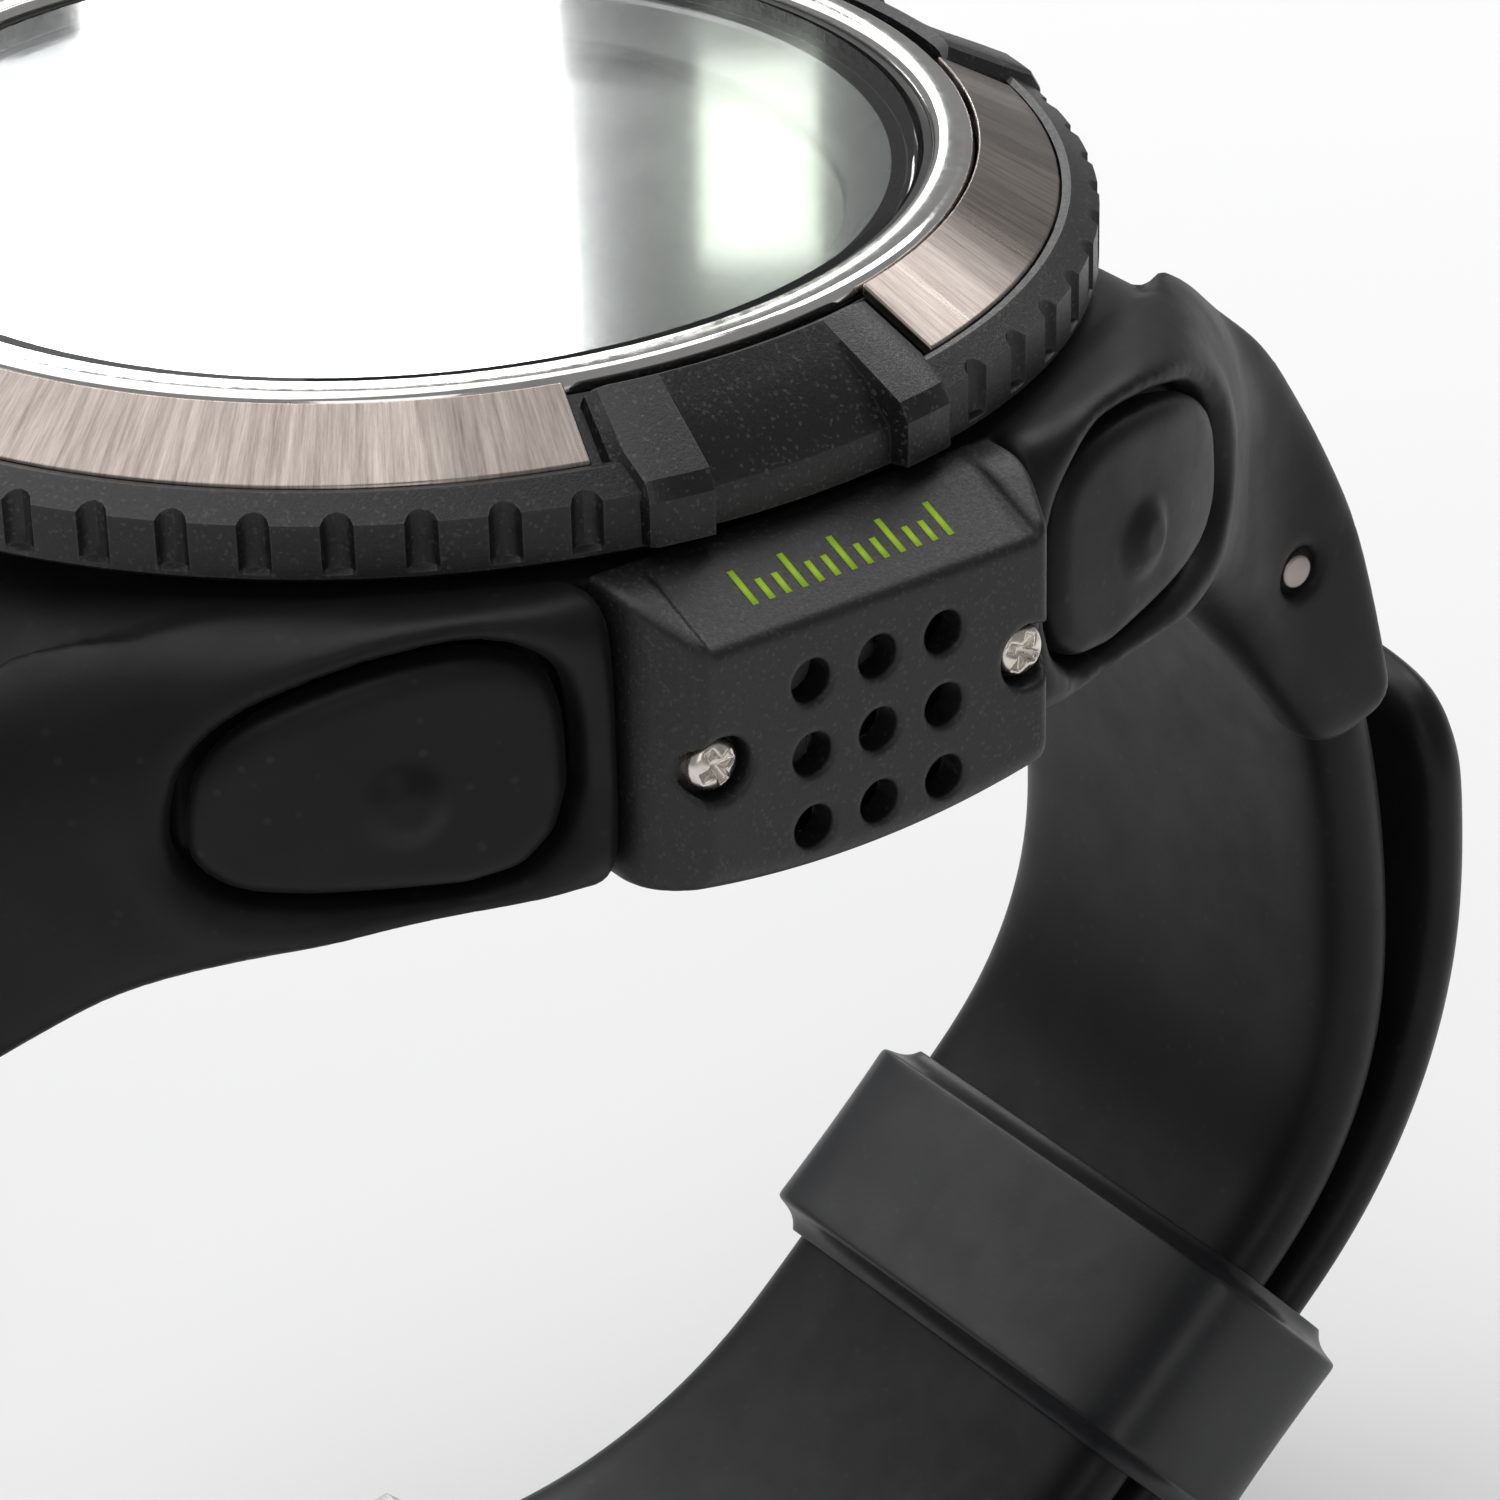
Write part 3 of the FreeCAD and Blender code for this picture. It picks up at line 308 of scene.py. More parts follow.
    links.new(amount.outputs["Value"], rubbed.inputs["Factor"])
    links.new(rubbed.outputs["Result"], resin.inputs["Base Color"])
    links.new(grain.outputs["Fac"], roughRange.inputs["Value"])
    links.new(roughRange.outputs["Result"], resin.inputs["Roughness"])
    links.new(grain.outputs["Fac"], bump.inputs["Height"])
    links.new(bump.outputs["Normal"], resin.inputs["Normal"])
    links.new(resin.outputs["BSDF"], output.inputs["Surface"])
    return material


def brushedSteel(name, look):
    material, nodes, links = startMaterial(name)
    directionFrame = nodes.new("NodeFrame")
    directionFrame.label = "Brushing runs outwards from the axis"
    colourFrame = nodes.new("NodeFrame")
    colourFrame.label = "Tinted steel"
    glossFrame = nodes.new("NodeFrame")
    glossFrame.label = "Stretched gloss"

    place = nodes.new("ShaderNodeTexCoord")
    place.label = "Place on the dial"
    flat = nodes.new("ShaderNodeVectorMath")
    flat.label = "Leave out the height"
    flat.operation = "MULTIPLY"
    flat.inputs[1].default_value = (1, 1, 0)
    outwards = nodes.new("ShaderNodeVectorMath")
    outwards.label = "Direction from the axis"
    outwards.operation = "NORMALIZE"
    stretched = nodes.new("ShaderNodeVectorMath")
    stretched.label = "A little change along a stroke"
    stretched.operation = "MULTIPLY_ADD"
    stretched.inputs[1].default_value = (look["drift"],) * 3
    strokes = nodes.new("ShaderNodeTexNoise")
    strokes.label = "Brush strokes"
    strokes.inputs["Scale"].default_value = look["strokes"]
    strokes.inputs["Detail"].default_value = 8
    strokes.inputs["Roughness"].default_value = 0.8
    streaks = nodes.new("ShaderNodeTexNoise")
    streaks.label = "Wide streaks"
    streaks.inputs["Scale"].default_value = look["strokes"] / 9
    streaks.inputs["Detail"].default_value = 4
    strokeRange = nodes.new("ShaderNodeMapRange")
    strokeRange.label = "Contrast of the strokes"
    strokeRange.inputs["From Min"].default_value = 0.3
    strokeRange.inputs["From Max"].default_value = 0.7
    colour = nodes.new("ShaderNodeMix")
    colour.label = "Tint along the strokes"
    colour.data_type = "RGBA"
    colour.inputs["A"].default_value = (*look["dark"], 1)
    colour.inputs["B"].default_value = (*look["light"], 1)
    roughRange = nodes.new("ShaderNodeMapRange")
    roughRange.label = "Roughness of the streaks"
    roughRange.inputs["From Min"].default_value = 0.3
    roughRange.inputs["From Max"].default_value = 0.7
    roughRange.inputs["To Min"].default_value = look["roughness"] - 0.06
    roughRange.inputs["To Max"].default_value = look["roughness"] + 0.1
    bump = nodes.new("ShaderNodeBump")
    bump.label = "Depth of the strokes"
    bump.inputs["Strength"].default_value = look["bump"]
    bump.inputs["Distance"].default_value = 0.00001
    across = nodes.new("ShaderNodeVectorMath")
    across.label = "Round the axis"
    across.operation = "CROSS_PRODUCT"
    across.inputs[0].default_value = (0, 0, 1)
    tangent = nodes.new("ShaderNodeVectorTransform")
    tangent.label = "Turn with the part"
    tangent.vector_type = "VECTOR"
    tangent.convert_from = "OBJECT"
    tangent.convert_to = "WORLD"

    steel = nodes.new("ShaderNodeBsdfPrincipled")
    steel.label = "Steel"
    steel.inputs["Metallic"].default_value = 1
    steel.inputs["Anisotropic"].default_value = look["stretch"]
    steel.inputs["Anisotropic Rotation"].default_value = 0.25
    output = nodes.new("ShaderNodeOutputMaterial")
    output.label = "Surface"

    placeNodes([
        (directionFrame, [flat, outwards, stretched]),
        (colourFrame, [strokes, streaks, strokeRange, colour]),
        (glossFrame, [roughRange, bump, across, tangent]),
    ], [
        [place, flat, outwards, stretched, strokes, strokeRange, colour, steel, output],
        [streaks, roughRange, bump],
        [across, tangent],
    ])
    links.new(place.outputs["Object"], flat.inputs[0])
    links.new(flat.outputs["Vector"], outwards.inputs[0])
    links.new(place.outputs["Object"], stretched.inputs[0])
    links.new(outwards.outputs["Vector"], stretched.inputs[2])
    links.new(stretched.outputs["Vector"], strokes.inputs["Vector"])
    links.new(stretched.outputs["Vector"], streaks.inputs["Vector"])
    links.new(strokes.outputs["Fac"], strokeRange.inputs["Value"])
    links.new(strokeRange.outputs["Result"], colour.inputs["Factor"])
    links.new(colour.outputs["Result"], steel.inputs["Base Color"])
    links.new(streaks.outputs["Fac"], roughRange.inputs["Value"])
    links.new(roughRange.outputs["Result"], steel.inputs["Roughness"])
    links.new(strokes.outputs["Fac"], bump.inputs["Height"])
    links.new(bump.outputs["Normal"], steel.inputs["Normal"])
    links.new(outwards.outputs["Vector"], across.inputs[1])
    links.new(across.outputs["Vector"], tangent.inputs["Vector"])
    links.new(tangent.outputs["Vector"], steel.inputs["Tangent"])
    links.new(steel.outputs["BSDF"], output.inputs["Surface"])
    return material


def handledMetal(name, look):
    material, nodes, links = startMaterial(name)
    scratchFrame = nodes.new("NodeFrame")
    scratchFrame.label = "Hairline scratches"
    tarnishFrame = nodes.new("NodeFrame")
    tarnishFrame.label = "Tarnish"

    place = nodes.new("ShaderNodeTexCoord")
    place.label = "Place on the part"
    lean = nodes.new("ShaderNodeMapping")
    lean.label = "Scratches lean and stretch"
    lean.inputs["Rotation"].default_value = (0.4, 0.7, 0.9)
    lean.inputs["Scale"].default_value = (1, 1, 0.06)
    hairlines = nodes.new("ShaderNodeTexNoise")
    hairlines.label = "Hairlines"
    hairlines.inputs["Scale"].default_value = look["scratches"]
    hairlines.inputs["Detail"].default_value = 4
    bump = nodes.new("ShaderNodeBump")
    bump.label = "Depth of the hairlines"
    bump.inputs["Strength"].default_value = look["bump"]
    bump.inputs["Distance"].default_value = 0.00001
    roughRange = nodes.new("ShaderNodeMapRange")
    roughRange.label = "Roughness of the hairlines"
    roughRange.inputs["From Min"].default_value = 0.3
    roughRange.inputs["From Max"].default_value = 0.7
    roughRange.inputs["To Min"].default_value = look["roughness"]
    roughRange.inputs["To Max"].default_value = look["roughness"] + 0.08
    blotch = nodes.new("ShaderNodeTexNoise")
    blotch.label = "Blotches"
    blotch.inputs["Scale"].default_value = look["blotches"]
    blotch.inputs["Detail"].default_value = 6
    blotchRange = nodes.new("ShaderNodeMapRange")
    blotchRange.label = "Only the deepest blotches"
    blotchRange.inputs["From Min"].default_value = 0.5
    blotchRange.inputs["From Max"].default_value = 0.72
    blotchRange.inputs["To Max"].default_value = look["tarnish"]
    colour = nodes.new("ShaderNodeMix")
    colour.label = "Tarnished colour"
    colour.data_type = "RGBA"
    colour.inputs["A"].default_value = (*look["colour"], 1)
    colour.inputs["B"].default_value = (*look["stain"], 1)
    metal = nodes.new("ShaderNodeBsdfPrincipled")
    metal.label = "Metal"
    metal.inputs["Metallic"].default_value = 1
    output = nodes.new("ShaderNodeOutputMaterial")
    output.label = "Surface"

    placeNodes([
        (scratchFrame, [lean, hairlines, bump, roughRange]),
        (tarnishFrame, [blotch, blotchRange, colour]),
    ], [
        [place, blotch, blotchRange, colour, metal, output],
        [lean, hairlines, roughRange, bump],
    ])
    links.new(place.outputs["Object"], lean.inputs["Vector"])
    links.new(lean.outputs["Vector"], hairlines.inputs["Vector"])
    links.new(place.outputs["Object"], blotch.inputs["Vector"])
    links.new(blotch.outputs["Fac"], blotchRange.inputs["Value"])
    links.new(blotchRange.outputs["Result"], colour.inputs["Factor"])
    links.new(colour.outputs["Result"], metal.inputs["Base Color"])
    links.new(hairlines.outputs["Fac"], roughRange.inputs["Value"])
    links.new(roughRange.outputs["Result"], metal.inputs["Roughness"])
    links.new(hairlines.outputs["Fac"], bump.inputs["Height"])
    links.new(bump.outputs["Normal"], metal.inputs["Normal"])
    links.new(metal.outputs["BSDF"], output.inputs["Surface"])
    return material


def crystalGlass(name, look):
    material, nodes, links = startMaterial(name)
    smearFrame = nodes.new("NodeFrame")
    smearFrame.label = "Faint smears"
    place = nodes.new("ShaderNodeTexCoord")
    place.label = "Place on the glass"
    smear = nodes.new("ShaderNodeTexNoise")
    smear.label = "Wiped smears"
    smear.inputs["Scale"].default_value = 90
    smear.inputs["Detail"].default_value = 7
    smear.inputs["Distortion"].default_value = 1.2
    smearRange = nodes.new("ShaderNodeMapRange")
    smearRange.label = "Roughness of the smears"
    smearRange.inputs["From Min"].default_value = 0.45
    smearRange.inputs["From Max"].default_value = 0.8
    smearRange.inputs["To Min"].default_value = look["haze"]
    smearRange.inputs["To Max"].default_value = look["haze"] + look["smear"]
    glass = nodes.new("ShaderNodeBsdfPrincipled")
    glass.label = "Glass"
    glass.inputs["Base Color"].default_value = (*look["colour"], 1)
    glass.inputs["IOR"].default_value = look["ior"]
    glass.inputs["Transmission Weight"].default_value = 1
    output = nodes.new("ShaderNodeOutputMaterial")
    output.label = "Surface"
    placeNodes([(smearFrame, [smear, smearRange])], [[place, smear, smearRange, glass, output]])
    links.new(place.outputs["Object"], smear.inputs["Vector"])
    links.new(smear.outputs["Fac"], smearRange.inputs["Value"])
    links.new(smearRange.outputs["Result"], glass.inputs["Roughness"])
    links.new(glass.outputs["BSDF"], output.inputs["Surface"])
    return material


def displayFace(name, look):
    material, nodes, links = startMaterial(name)
    cellFrame = nodes.new("NodeFrame")
    cellFrame.label = "Cells of the panel"
    ringFrame = nodes.new("NodeFrame")
    ringFrame.label = "Printed border"
    place = nodes.new("ShaderNodeTexCoord")
    place.label = "Place on the dial"
    cells = nodes.new("ShaderNodeTexBrick")
    cells.label = "Cell grid"
    cells.offset = 0
    cells.inputs["Color1"].default_value = (*look["panel"], 1)
    cells.inputs["Color2"].default_value = (*look["panelLight"], 1)
    cells.inputs["Mortar"].default_value = (*look["border"], 1)
    cells.inputs["Scale"].default_value = look["cells"]
    cells.inputs["Mortar Size"].default_value = 0.04
    cells.inputs["Brick Width"].default_value = 0.5
    cells.inputs["Row Height"].default_value = 0.5
    flat = nodes.new("ShaderNodeVectorMath")
    flat.label = "Leave out the height"
    flat.operation = "MULTIPLY"
    flat.inputs[1].default_value = (1, 1, 0)
    reach = nodes.new("ShaderNodeVectorMath")
    reach.label = "Distance from the middle"
    reach.operation = "LENGTH"
    edge = nodes.new("ShaderNodeMapRange")
    edge.label = "Where the border starts"
    edge.inputs["From Min"].default_value = look["viewRadius"]
    edge.inputs["From Max"].default_value = look["viewRadius"] + 0.00015
    colour = nodes.new("ShaderNodeMix")
    colour.label = "Panel or border"
    colour.data_type = "RGBA"
    colour.inputs["B"].default_value = (*look["border"], 1)
    panel = nodes.new("ShaderNodeBsdfPrincipled")
    panel.label = "Panel"
    panel.inputs["Roughness"].default_value = 0.16
    panel.inputs["Coat Weight"].default_value = 0.5
    panel.inputs["Coat Roughness"].default_value = 0.05
    output = nodes.new("ShaderNodeOutputMaterial")
    output.label = "Surface"
    placeNodes([
        (cellFrame, [cells]),
        (ringFrame, [flat, reach, edge, colour]),
    ], [
        [place, cells, colour, panel, output],
        [flat, reach, edge],
    ])
    links.new(place.outputs["Object"], cells.inputs["Vector"])
    links.new(place.outputs["Object"], flat.inputs[0])
    links.new(flat.outputs["Vector"], reach.inputs[0])
    links.new(reach.outputs["Value"], edge.inputs["Value"])
    links.new(edge.outputs["Result"], colour.inputs["Factor"])
    links.new(cells.outputs["Color"], colour.inputs["A"])
    links.new(colour.outputs["Result"], panel.inputs["Base Color"])
    links.new(panel.outputs["BSDF"], output.inputs["Surface"])
    return material


def paleFloor(name, look):
    material, nodes, links = startMaterial(name)
    place = nodes.new("ShaderNodeTexCoord")
    place.label = "Place on the floor"
    mottle = nodes.new("ShaderNodeTexNoise")
    mottle.label = "Faint mottling"
    mottle.inputs["Scale"].default_value = 14
    colour = nodes.new("ShaderNodeMix")
    colour.label = "Pale paper"
    colour.data_type = "RGBA"
    colour.inputs["A"].default_value = (*look["low"], 1)
    colour.inputs["B"].default_value = (*look["high"], 1)
    paper = nodes.new("ShaderNodeBsdfPrincipled")
    paper.label = "Paper"
    paper.inputs["Roughness"].default_value = 0.9
    paper.inputs["Specular IOR Level"].default_value = 0.1
    output = nodes.new("ShaderNodeOutputMaterial")
    output.label = "Surface"
    placeNodes([], [[place, mottle, colour, paper, output]])
    links.new(place.outputs["Object"], mottle.inputs["Vector"])
    links.new(mottle.outputs["Fac"], colour.inputs["Factor"])
    links.new(colour.outputs["Result"], paper.inputs["Base Color"])
    links.new(paper.outputs["BSDF"], output.inputs["Surface"])
    return material


rubberLook = {
    "dark": (0.0045, 0.0045, 0.005), "light": (0.0075, 0.0075, 0.008), "cloud": 160, "dust": 0.05,
    "dustScale": 900, "rub": 420, "roughness": 0.47, "grain": 7000, "bump": 0.16,
    "specular": 0.22, "sheen": 0.02,
}
# the glint numbers give the painted glints on the flecks: how strong they are and how light their colour is
resinLook = {
    "dark": (0.005, 0.005, 0.0053), "light": (0.0095, 0.0095, 0.010), "paintedGlintColour": (0.10, 0.098, 0.098),
    "bare": (0.06, 0.06, 0.06), "wearWidth": 0.00016, "wear": 0.8, "fleck": 9500, "paintedGlint": 0.3,
    "grain": 8000, "roughness": 0.40, "bump": 0.34, "specular": 0.42,
}
metalLook = {
    "colour": (0.80, 0.79, 0.78), "stain": (0.42, 0.38, 0.34), "scratches": 2600, "bump": 0.05,
    "roughness": 0.07, "blotches": 500, "tarnish": 0.25,
}

caseRubber = mouldedRubber("caseRubber", rubberLook)
padRubber = mouldedRubber("padRubber", {**rubberLook, "dust": 0.08})
strapRubber = mouldedRubber("strapRubber", {**rubberLook, "dark": (0.005, 0.005, 0.006),
                                            "light": (0.009, 0.0093, 0.0105), "roughness": 0.42})
keeperRubber = mouldedRubber("keeperRubber", {**rubberLook, "dark": (0.012, 0.0125, 0.0145),
                                              "light": (0.019, 0.0198, 0.0225), "roughness": 0.38,
                                              "specular": 0.42})
sealRubber = mouldedRubber("sealRubber", {**rubberLook, "dark": (0.006, 0.006, 0.006),
                                          "light": (0.010, 0.010, 0.010), "roughness": 0.4})
# each resin's glint number sets how much painted glint its flecks get
bezelResin = grainedResin("bezelResin", resinLook)
gripResin = grainedResin("gripResin", {**resinLook, "paintedGlint": 0.4, "roughness": 0.36})
coverResin = grainedResin("coverResin", {**resinLook, "dark": (0.008, 0.008, 0.0085),
                                         "light": (0.014, 0.014, 0.0147), "roughness": 0.46,
                                         "paintedGlint": 0.22, "wear": 1.0})
middleResin = grainedResin("middleResin", {**resinLook, "paintedGlint": 0.1, "wear": 0.2})
holderResin = grainedResin("holderResin", {**resinLook, "dark": (0.34, 0.34, 0.33),
                                           "light": (0.44, 0.44, 0.42), "paintedGlint": 0, "wear": 0})
flangeResin = grainedResin("flangeResin", {**resinLook, "dark": (0.16, 0.16, 0.165),
                                           "light": (0.24, 0.24, 0.25), "roughness": 0.24,
                                           "paintedGlint": 0.15, "wear": 0.1, "bump": 0.12})
boardLaminate = grainedResin("boardLaminate", {**resinLook, "dark": (0.01, 0.08, 0.03),
                                               "light": (0.02, 0.14, 0.05), "paintedGlint": 0.1,
                                               "wear": 0.3})
insertSteel = brushedSteel("insertSteel", {
    "dark": (0.17, 0.142, 0.127), "light": (0.45, 0.395, 0.36), "strokes": 90, "drift": 2.5,
    "roughness": 0.27, "bump": 0.25, "stretch": 0.75})
backSteel = brushedSteel("backSteel", {
    "dark": (0.42, 0.42, 0.42), "light": (0.66, 0.65, 0.64), "strokes": 60, "drift": 4,
    "roughness": 0.3, "bump": 0.2, "stretch": 0.6})
polishedSteel = handledMetal("polishedSteel", metalLook)
screwSteel = handledMetal("screwSteel", {**metalLook, "colour": (0.80, 0.74, 0.68), "roughness": 0.22,
                                         "blotches": 2200, "tarnish": 0.85, "bump": 0.3})
springSteel = handledMetal("springSteel", {**metalLook, "colour": (0.40, 0.35, 0.33), "roughness": 0.4})
contactBrass = handledMetal("contactBrass", {**metalLook, "colour": (0.78, 0.58, 0.25), "roughness": 0.2})
markInk = mouldedRubber("markInk", {**rubberLook, "dark": (0.30, 0.52, 0.02),
                                    "light": (0.42, 0.66, 0.04), "dust": 0.0, "roughness": 0.55})
sensorSteel = handledMetal("sensorSteel", {**metalLook, "colour": (0.60, 0.61, 0.63), "roughness": 0.25})
crystal = crystalGlass("crystal", {"colour": (0.97, 0.99, 0.985), "ior": 1.6, "haze": 0.05, "smear": 0.03})
panelFace = displayFace("panelFace", {
    "panel": (0.012, 0.015, 0.012), "panelLight": (0.018, 0.022, 0.016), "border": (0.006, 0.006, 0.006),
    "cells": 1400, "viewRadius": 0.0142})
floorPaper = paleFloor("floorPaper", {"low": (0.86, 0.86, 0.86), "high": (0.89, 0.89, 0.89)})

nodeFinishes = {
    "crystal": crystal, "crystal_gasket": sealRubber, "crystal_ring": polishedSteel,
    "dial_flange": flangeResin, "bezel_ring": bezelResin, "bezel_retaining_wire": springSteel,
    "bezel_insert": insertSteel, "bezel_click_spring": springSteel, "case_middle": middleResin,
    "case_back": backSteel, "case_back_screws": screwSteel, "case_back_seal": sealRubber,
    "case_jacket": caseRubber, "display_module": panelFace, "module_holder": holderResin,
    "circuit_board": boardLaminate, "battery": sensorSteel, "battery_contact": contactBrass,
    "buzzer_disc": contactBrass, "pressure_sensor": sensorSteel, "sensor_seal": sealRubber,
    "sensor_screw_1": screwSteel, "sensor_screw_2": screwSteel, "sensor_cover": coverResin,
    "strap_pin_12": springSteel, "strap_pin_6": springSteel, "strap_short": strapRubber,
    "strap_long": strapRubber, "strap_keeper": keeperRubber, "buckle_pin": springSteel,
    "buckle_frame": backSteel, "buckle_tongue": polishedSteel,
}
for number in range(1, 5):
    nodeFinishes[f"bezel_grip_{number}"] = gripResin
    nodeFinishes[f"button_pad_{number}"] = padRubber
    nodeFinishes[f"button_plunger_{number}"] = springSteel
    nodeFinishes[f"button_clip_{number}"] = springSteel
    nodeFinishes[f"button_seal_{number}"] = sealRubber
    nodeFinishes[f"button_spring_{number}"] = springSteel
for nodeName, finish in nodeFinishes.items():
    cadNodes[nodeName].data.materials.clear()
    cadNodes[nodeName].data.materials.append(finish)
print("materials made")


# Soft mouldings are forms in millimetres, negative inside, which mouldedMesh covers with quads.

def softMax(a, b, reach):
    # crossing of two forms with its edge rounded over that reach
    share = np.maximum(reach - np.abs(a - b), 0) / reach
    return np.maximum(a, b) + share * share * reach / 4


def softMin(a, b, reach):
    return -softMax(-a, -b, reach)


def easeIn(value, low, high):
    share = np.clip((value - low) / (high - low), 0, 1)
    return share * share * (3 - 2 * share)


def leaning(a, b, face):
    # flat face: its place along a and b, how it leans along each, and the length of that lean
    placeA, placeB, leanA, leanB, length = face
    return ((a - placeA) * leanA + (b - placeB) * leanB) / length


def outlineDistance(u, v, corners):
    # distance to a closed outline, negative inside
    nearest = np.full(np.shape(u), 1e9)
    inside = np.zeros(np.shape(u), bool)
    for index, (endU, endV) in enumerate(corners):
        startU, startV = corners[index - 1]
        alongU, alongV = endU - startU, endV - startV
        share = ((u - startU) * alongU + (v - startV) * alongV) / (alongU ** 2 + alongV ** 2)
        share = np.clip(share, 0, 1)
        nearest = np.minimum(nearest, np.hypot(u - startU - share * alongU, v - startV - share * alongV))
        crosses = (startV > v) != (endV > v)
        inside ^= crosses & (u < startU + (v - startV) / ((endV - startV) or 1e-9) * (endU - startU))
    return np.where(inside, -nearest, nearest)


def mouldedMesh(name, form, low, high, step, settle=5):
    # quads round a form; each corner is settled onto the form itself
    axes = [np.arange(a, b + step, step) for a, b in zip(low, high)]
    value = form(*np.meshgrid(*axes, indexing="ij"))
    inside = value < 0
    cells = tuple(n - 1 for n in value.shape)
    corners = [(i, j, k) for i in (0, 1) for j in (0, 1) for k in (0, 1)]
    filled = sum(inside[i:i + cells[0], j:j + cells[1], k:k + cells[2]].astype(np.int8)
                 for i, j, k in corners)
    at = np.argwhere((filled > 0) & (filled < 8))
    number = np.full(cells, -1)
    number[tuple(at.T)] = np.arange(len(at))
    total, count = np.zeros((len(at), 3)), np.zeros((len(at), 1))
    for first in corners:
        for axis in range(3):
            if first[axis]:
                continue
            second = tuple(1 if k == axis else first[k] for k in range(3))
            a, b = value[tuple((at + first).T)], value[tuple((at + second).T)]
            crossing = (a < 0) != (b < 0)
            share = np.where(crossing, a / np.where(crossing, a - b, 1), 0)
            spot = np.array(first, float) + share[:, None] * np.eye(3)[axis]
            total += spot * crossing[:, None]
            count += crossing[:, None]
    points = np.array(low) + (at + total / count) * step
    quads = []
    for axis in range(3):
        here, ids = np.moveaxis(inside, axis, 0), np.moveaxis(number, axis, 0)
        i, b, c = np.nonzero(here[:-1, 1:-1, 1:-1] != here[1:, 1:-1, 1:-1])
        b, c = b + 1, c + 1
        quad = np.stack([ids[i, b - 1, c - 1], ids[i, b, c - 1], ids[i, b, c], ids[i, b - 1, c]], 1)
        inwards = here[i, b, c] == (axis == 1)
        quad[inwards] = quad[inwards][:, ::-1]
        quads.append(quad)
    quads = np.concatenate(quads)
    probe = 0.02
    for visit in range(settle):
        if visit < settle - 2:
            # corners even out between their neighbours before they are pushed back onto the form
            spread = np.zeros_like(points)
            for side in range(4):
                for ahead in (side - 1, (side + 1) % 4):
                    for axis in range(3):
                        spread[:, axis] += np.bincount(quads[:, side], points[quads[:, ahead], axis],
                                                       len(points))
            shared = 2 * np.bincount(quads.ravel(), minlength=len(points))
            points += 0.5 * (spread / shared[:, None] - points)
        slope = np.stack([(form(*(points + d).T) - form(*(points - d).T)) / (2 * probe)
                          for d in np.eye(3) * probe], 1)
        push = form(*points.T)[:, None] * slope / np.maximum((slope ** 2).sum(1, keepdims=True), 0.2)
        points -= np.clip(push, -step / 2, step / 2)
    mesh = bpy.data.meshes.new(name)
    mesh.from_pydata((points * mm).tolist(), [], quads.tolist())
    mesh.shade_smooth()
    return mesh


def addPiece(name, mesh, finish, body, standsFor):
    piece = bpy.data.objects.new(name, mesh)
    bpy.context.scene.collection.objects.link(piece)
    mesh.materials.clear()
    mesh.materials.append(finish)
    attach(piece, body)
    if standsFor:
        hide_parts(*standsFor)
    return piece


def easedOutline(corners, cut, rounds):
    # each corner gives way to two, a little before and after it
    for _ in range(rounds):
        eased = []
        for index, corner in enumerate(corners):
            for other in (corners[index - 1], corners[(index + 1) % len(corners)]):
                length = math.dist(corner, other)
                share = min(cut / length, 0.27)
                eased.append(tuple(a + (b - a) * share for a, b in zip(corner, other)))
        corners = eased
    return corners


# faces are as leaning() reads them; an arch is how far its centre lies inwards and down, and its radius
jacket = {
    "top": 11.0, "under": 0.6, "bore": 20.35, "step": 0.31, "edge": 1.3,
    "flankRadius": 41.2, "flankCentre": 15.6, "taper": (26.6, 13.9, 13.3, 13.1, 18.67),
    "hornHalf": 13.2, "hornFrom": 24, "hornSide": (0.3, 27.2, 9.8, 0.3, 9.805),
    "hornTip": (34.6, -12.2, 0.307, -0.952, 1), "wristArch": (10.83, 40.13, 50),
    "hoodSlope": (19, 0, 4.4, 6.2, 7.6), "hoodArch": (14.12, 24.29, 50), "hoodDish": 0.3,
    "ridgeRise": 0.75, "wingFrom": 23.7, "wingFall": 0.13,
    "ridge": [(8, 23), (13, 20.3), (16.2, 18.8), (19.8, 16.7), (21.2, 14.9), (22.3, 13.7), (25, 12.4),
              (40, 12.1)],
    "recess": (22.95, 7.85), "dimple": (0.95, 0.35), "slotHalf": 10.5, "slotLean": 28, "slotKnuckle": 3.1,
}
pushPad = {
    "place": (23.5, 14.6, 5.2), "angle": 21, "corner": 1.6, "groove": 0.3, "inset": 0.2, "pillow": 0.9,
    "behind": 2.2, "window": 3.3, "dot": 1.6, "dotRise": 0.42, "frameSink": 0.2, "frame": 1.1, "step": 0.2,
    "rimDepth": 0.12, "rimAt": 1.5, "rimHalf": 0.5, "ease": (0.9, 2),
    "outline": [(-3.58, -1.77), (4.95, -1.08), (5.02, -0.2), (4.6, 1.3), (1.75, 2.56), (-1.2, 3.0),
                (-2.9, 2.85), (-3.58, 2.2)],
}
pushPad["outline"] = easedOutline(pushPad["outline"], *pushPad["ease"])
pinLow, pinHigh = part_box("strap_pin_12")
pinY, pinZ = ((pinLow + pinHigh) / 2 / mm)[1:]


def inPadFrame(x, y, z):
    # across the pad away from the sensor, up, and out of the case
    spot, turn = pushPad["place"], math.radians(pushPad["angle"])
    across, along = np.abs(x) - spot[0], np.abs(y) - spot[1]
    return (along * math.cos(turn) - across * math.sin(turn), z - spot[2],
            across * math.cos(turn) + along * math.sin(turn))


def flankForm(x, y):
    ax, ay = np.abs(x), np.abs(y)
    flank = np.hypot(ax + jacket["flankCentre"], y) - jacket["flankRadius"]
    taper = leaning(ax, ay, jacket["taper"])
    horn = softMax(leaning(ax - jacket["hornHalf"], ay, jacket["hornSide"]), jacket["hornFrom"] - ay, 1)
    return softMin(softMax(flank, taper, 1.5), horn, 2)


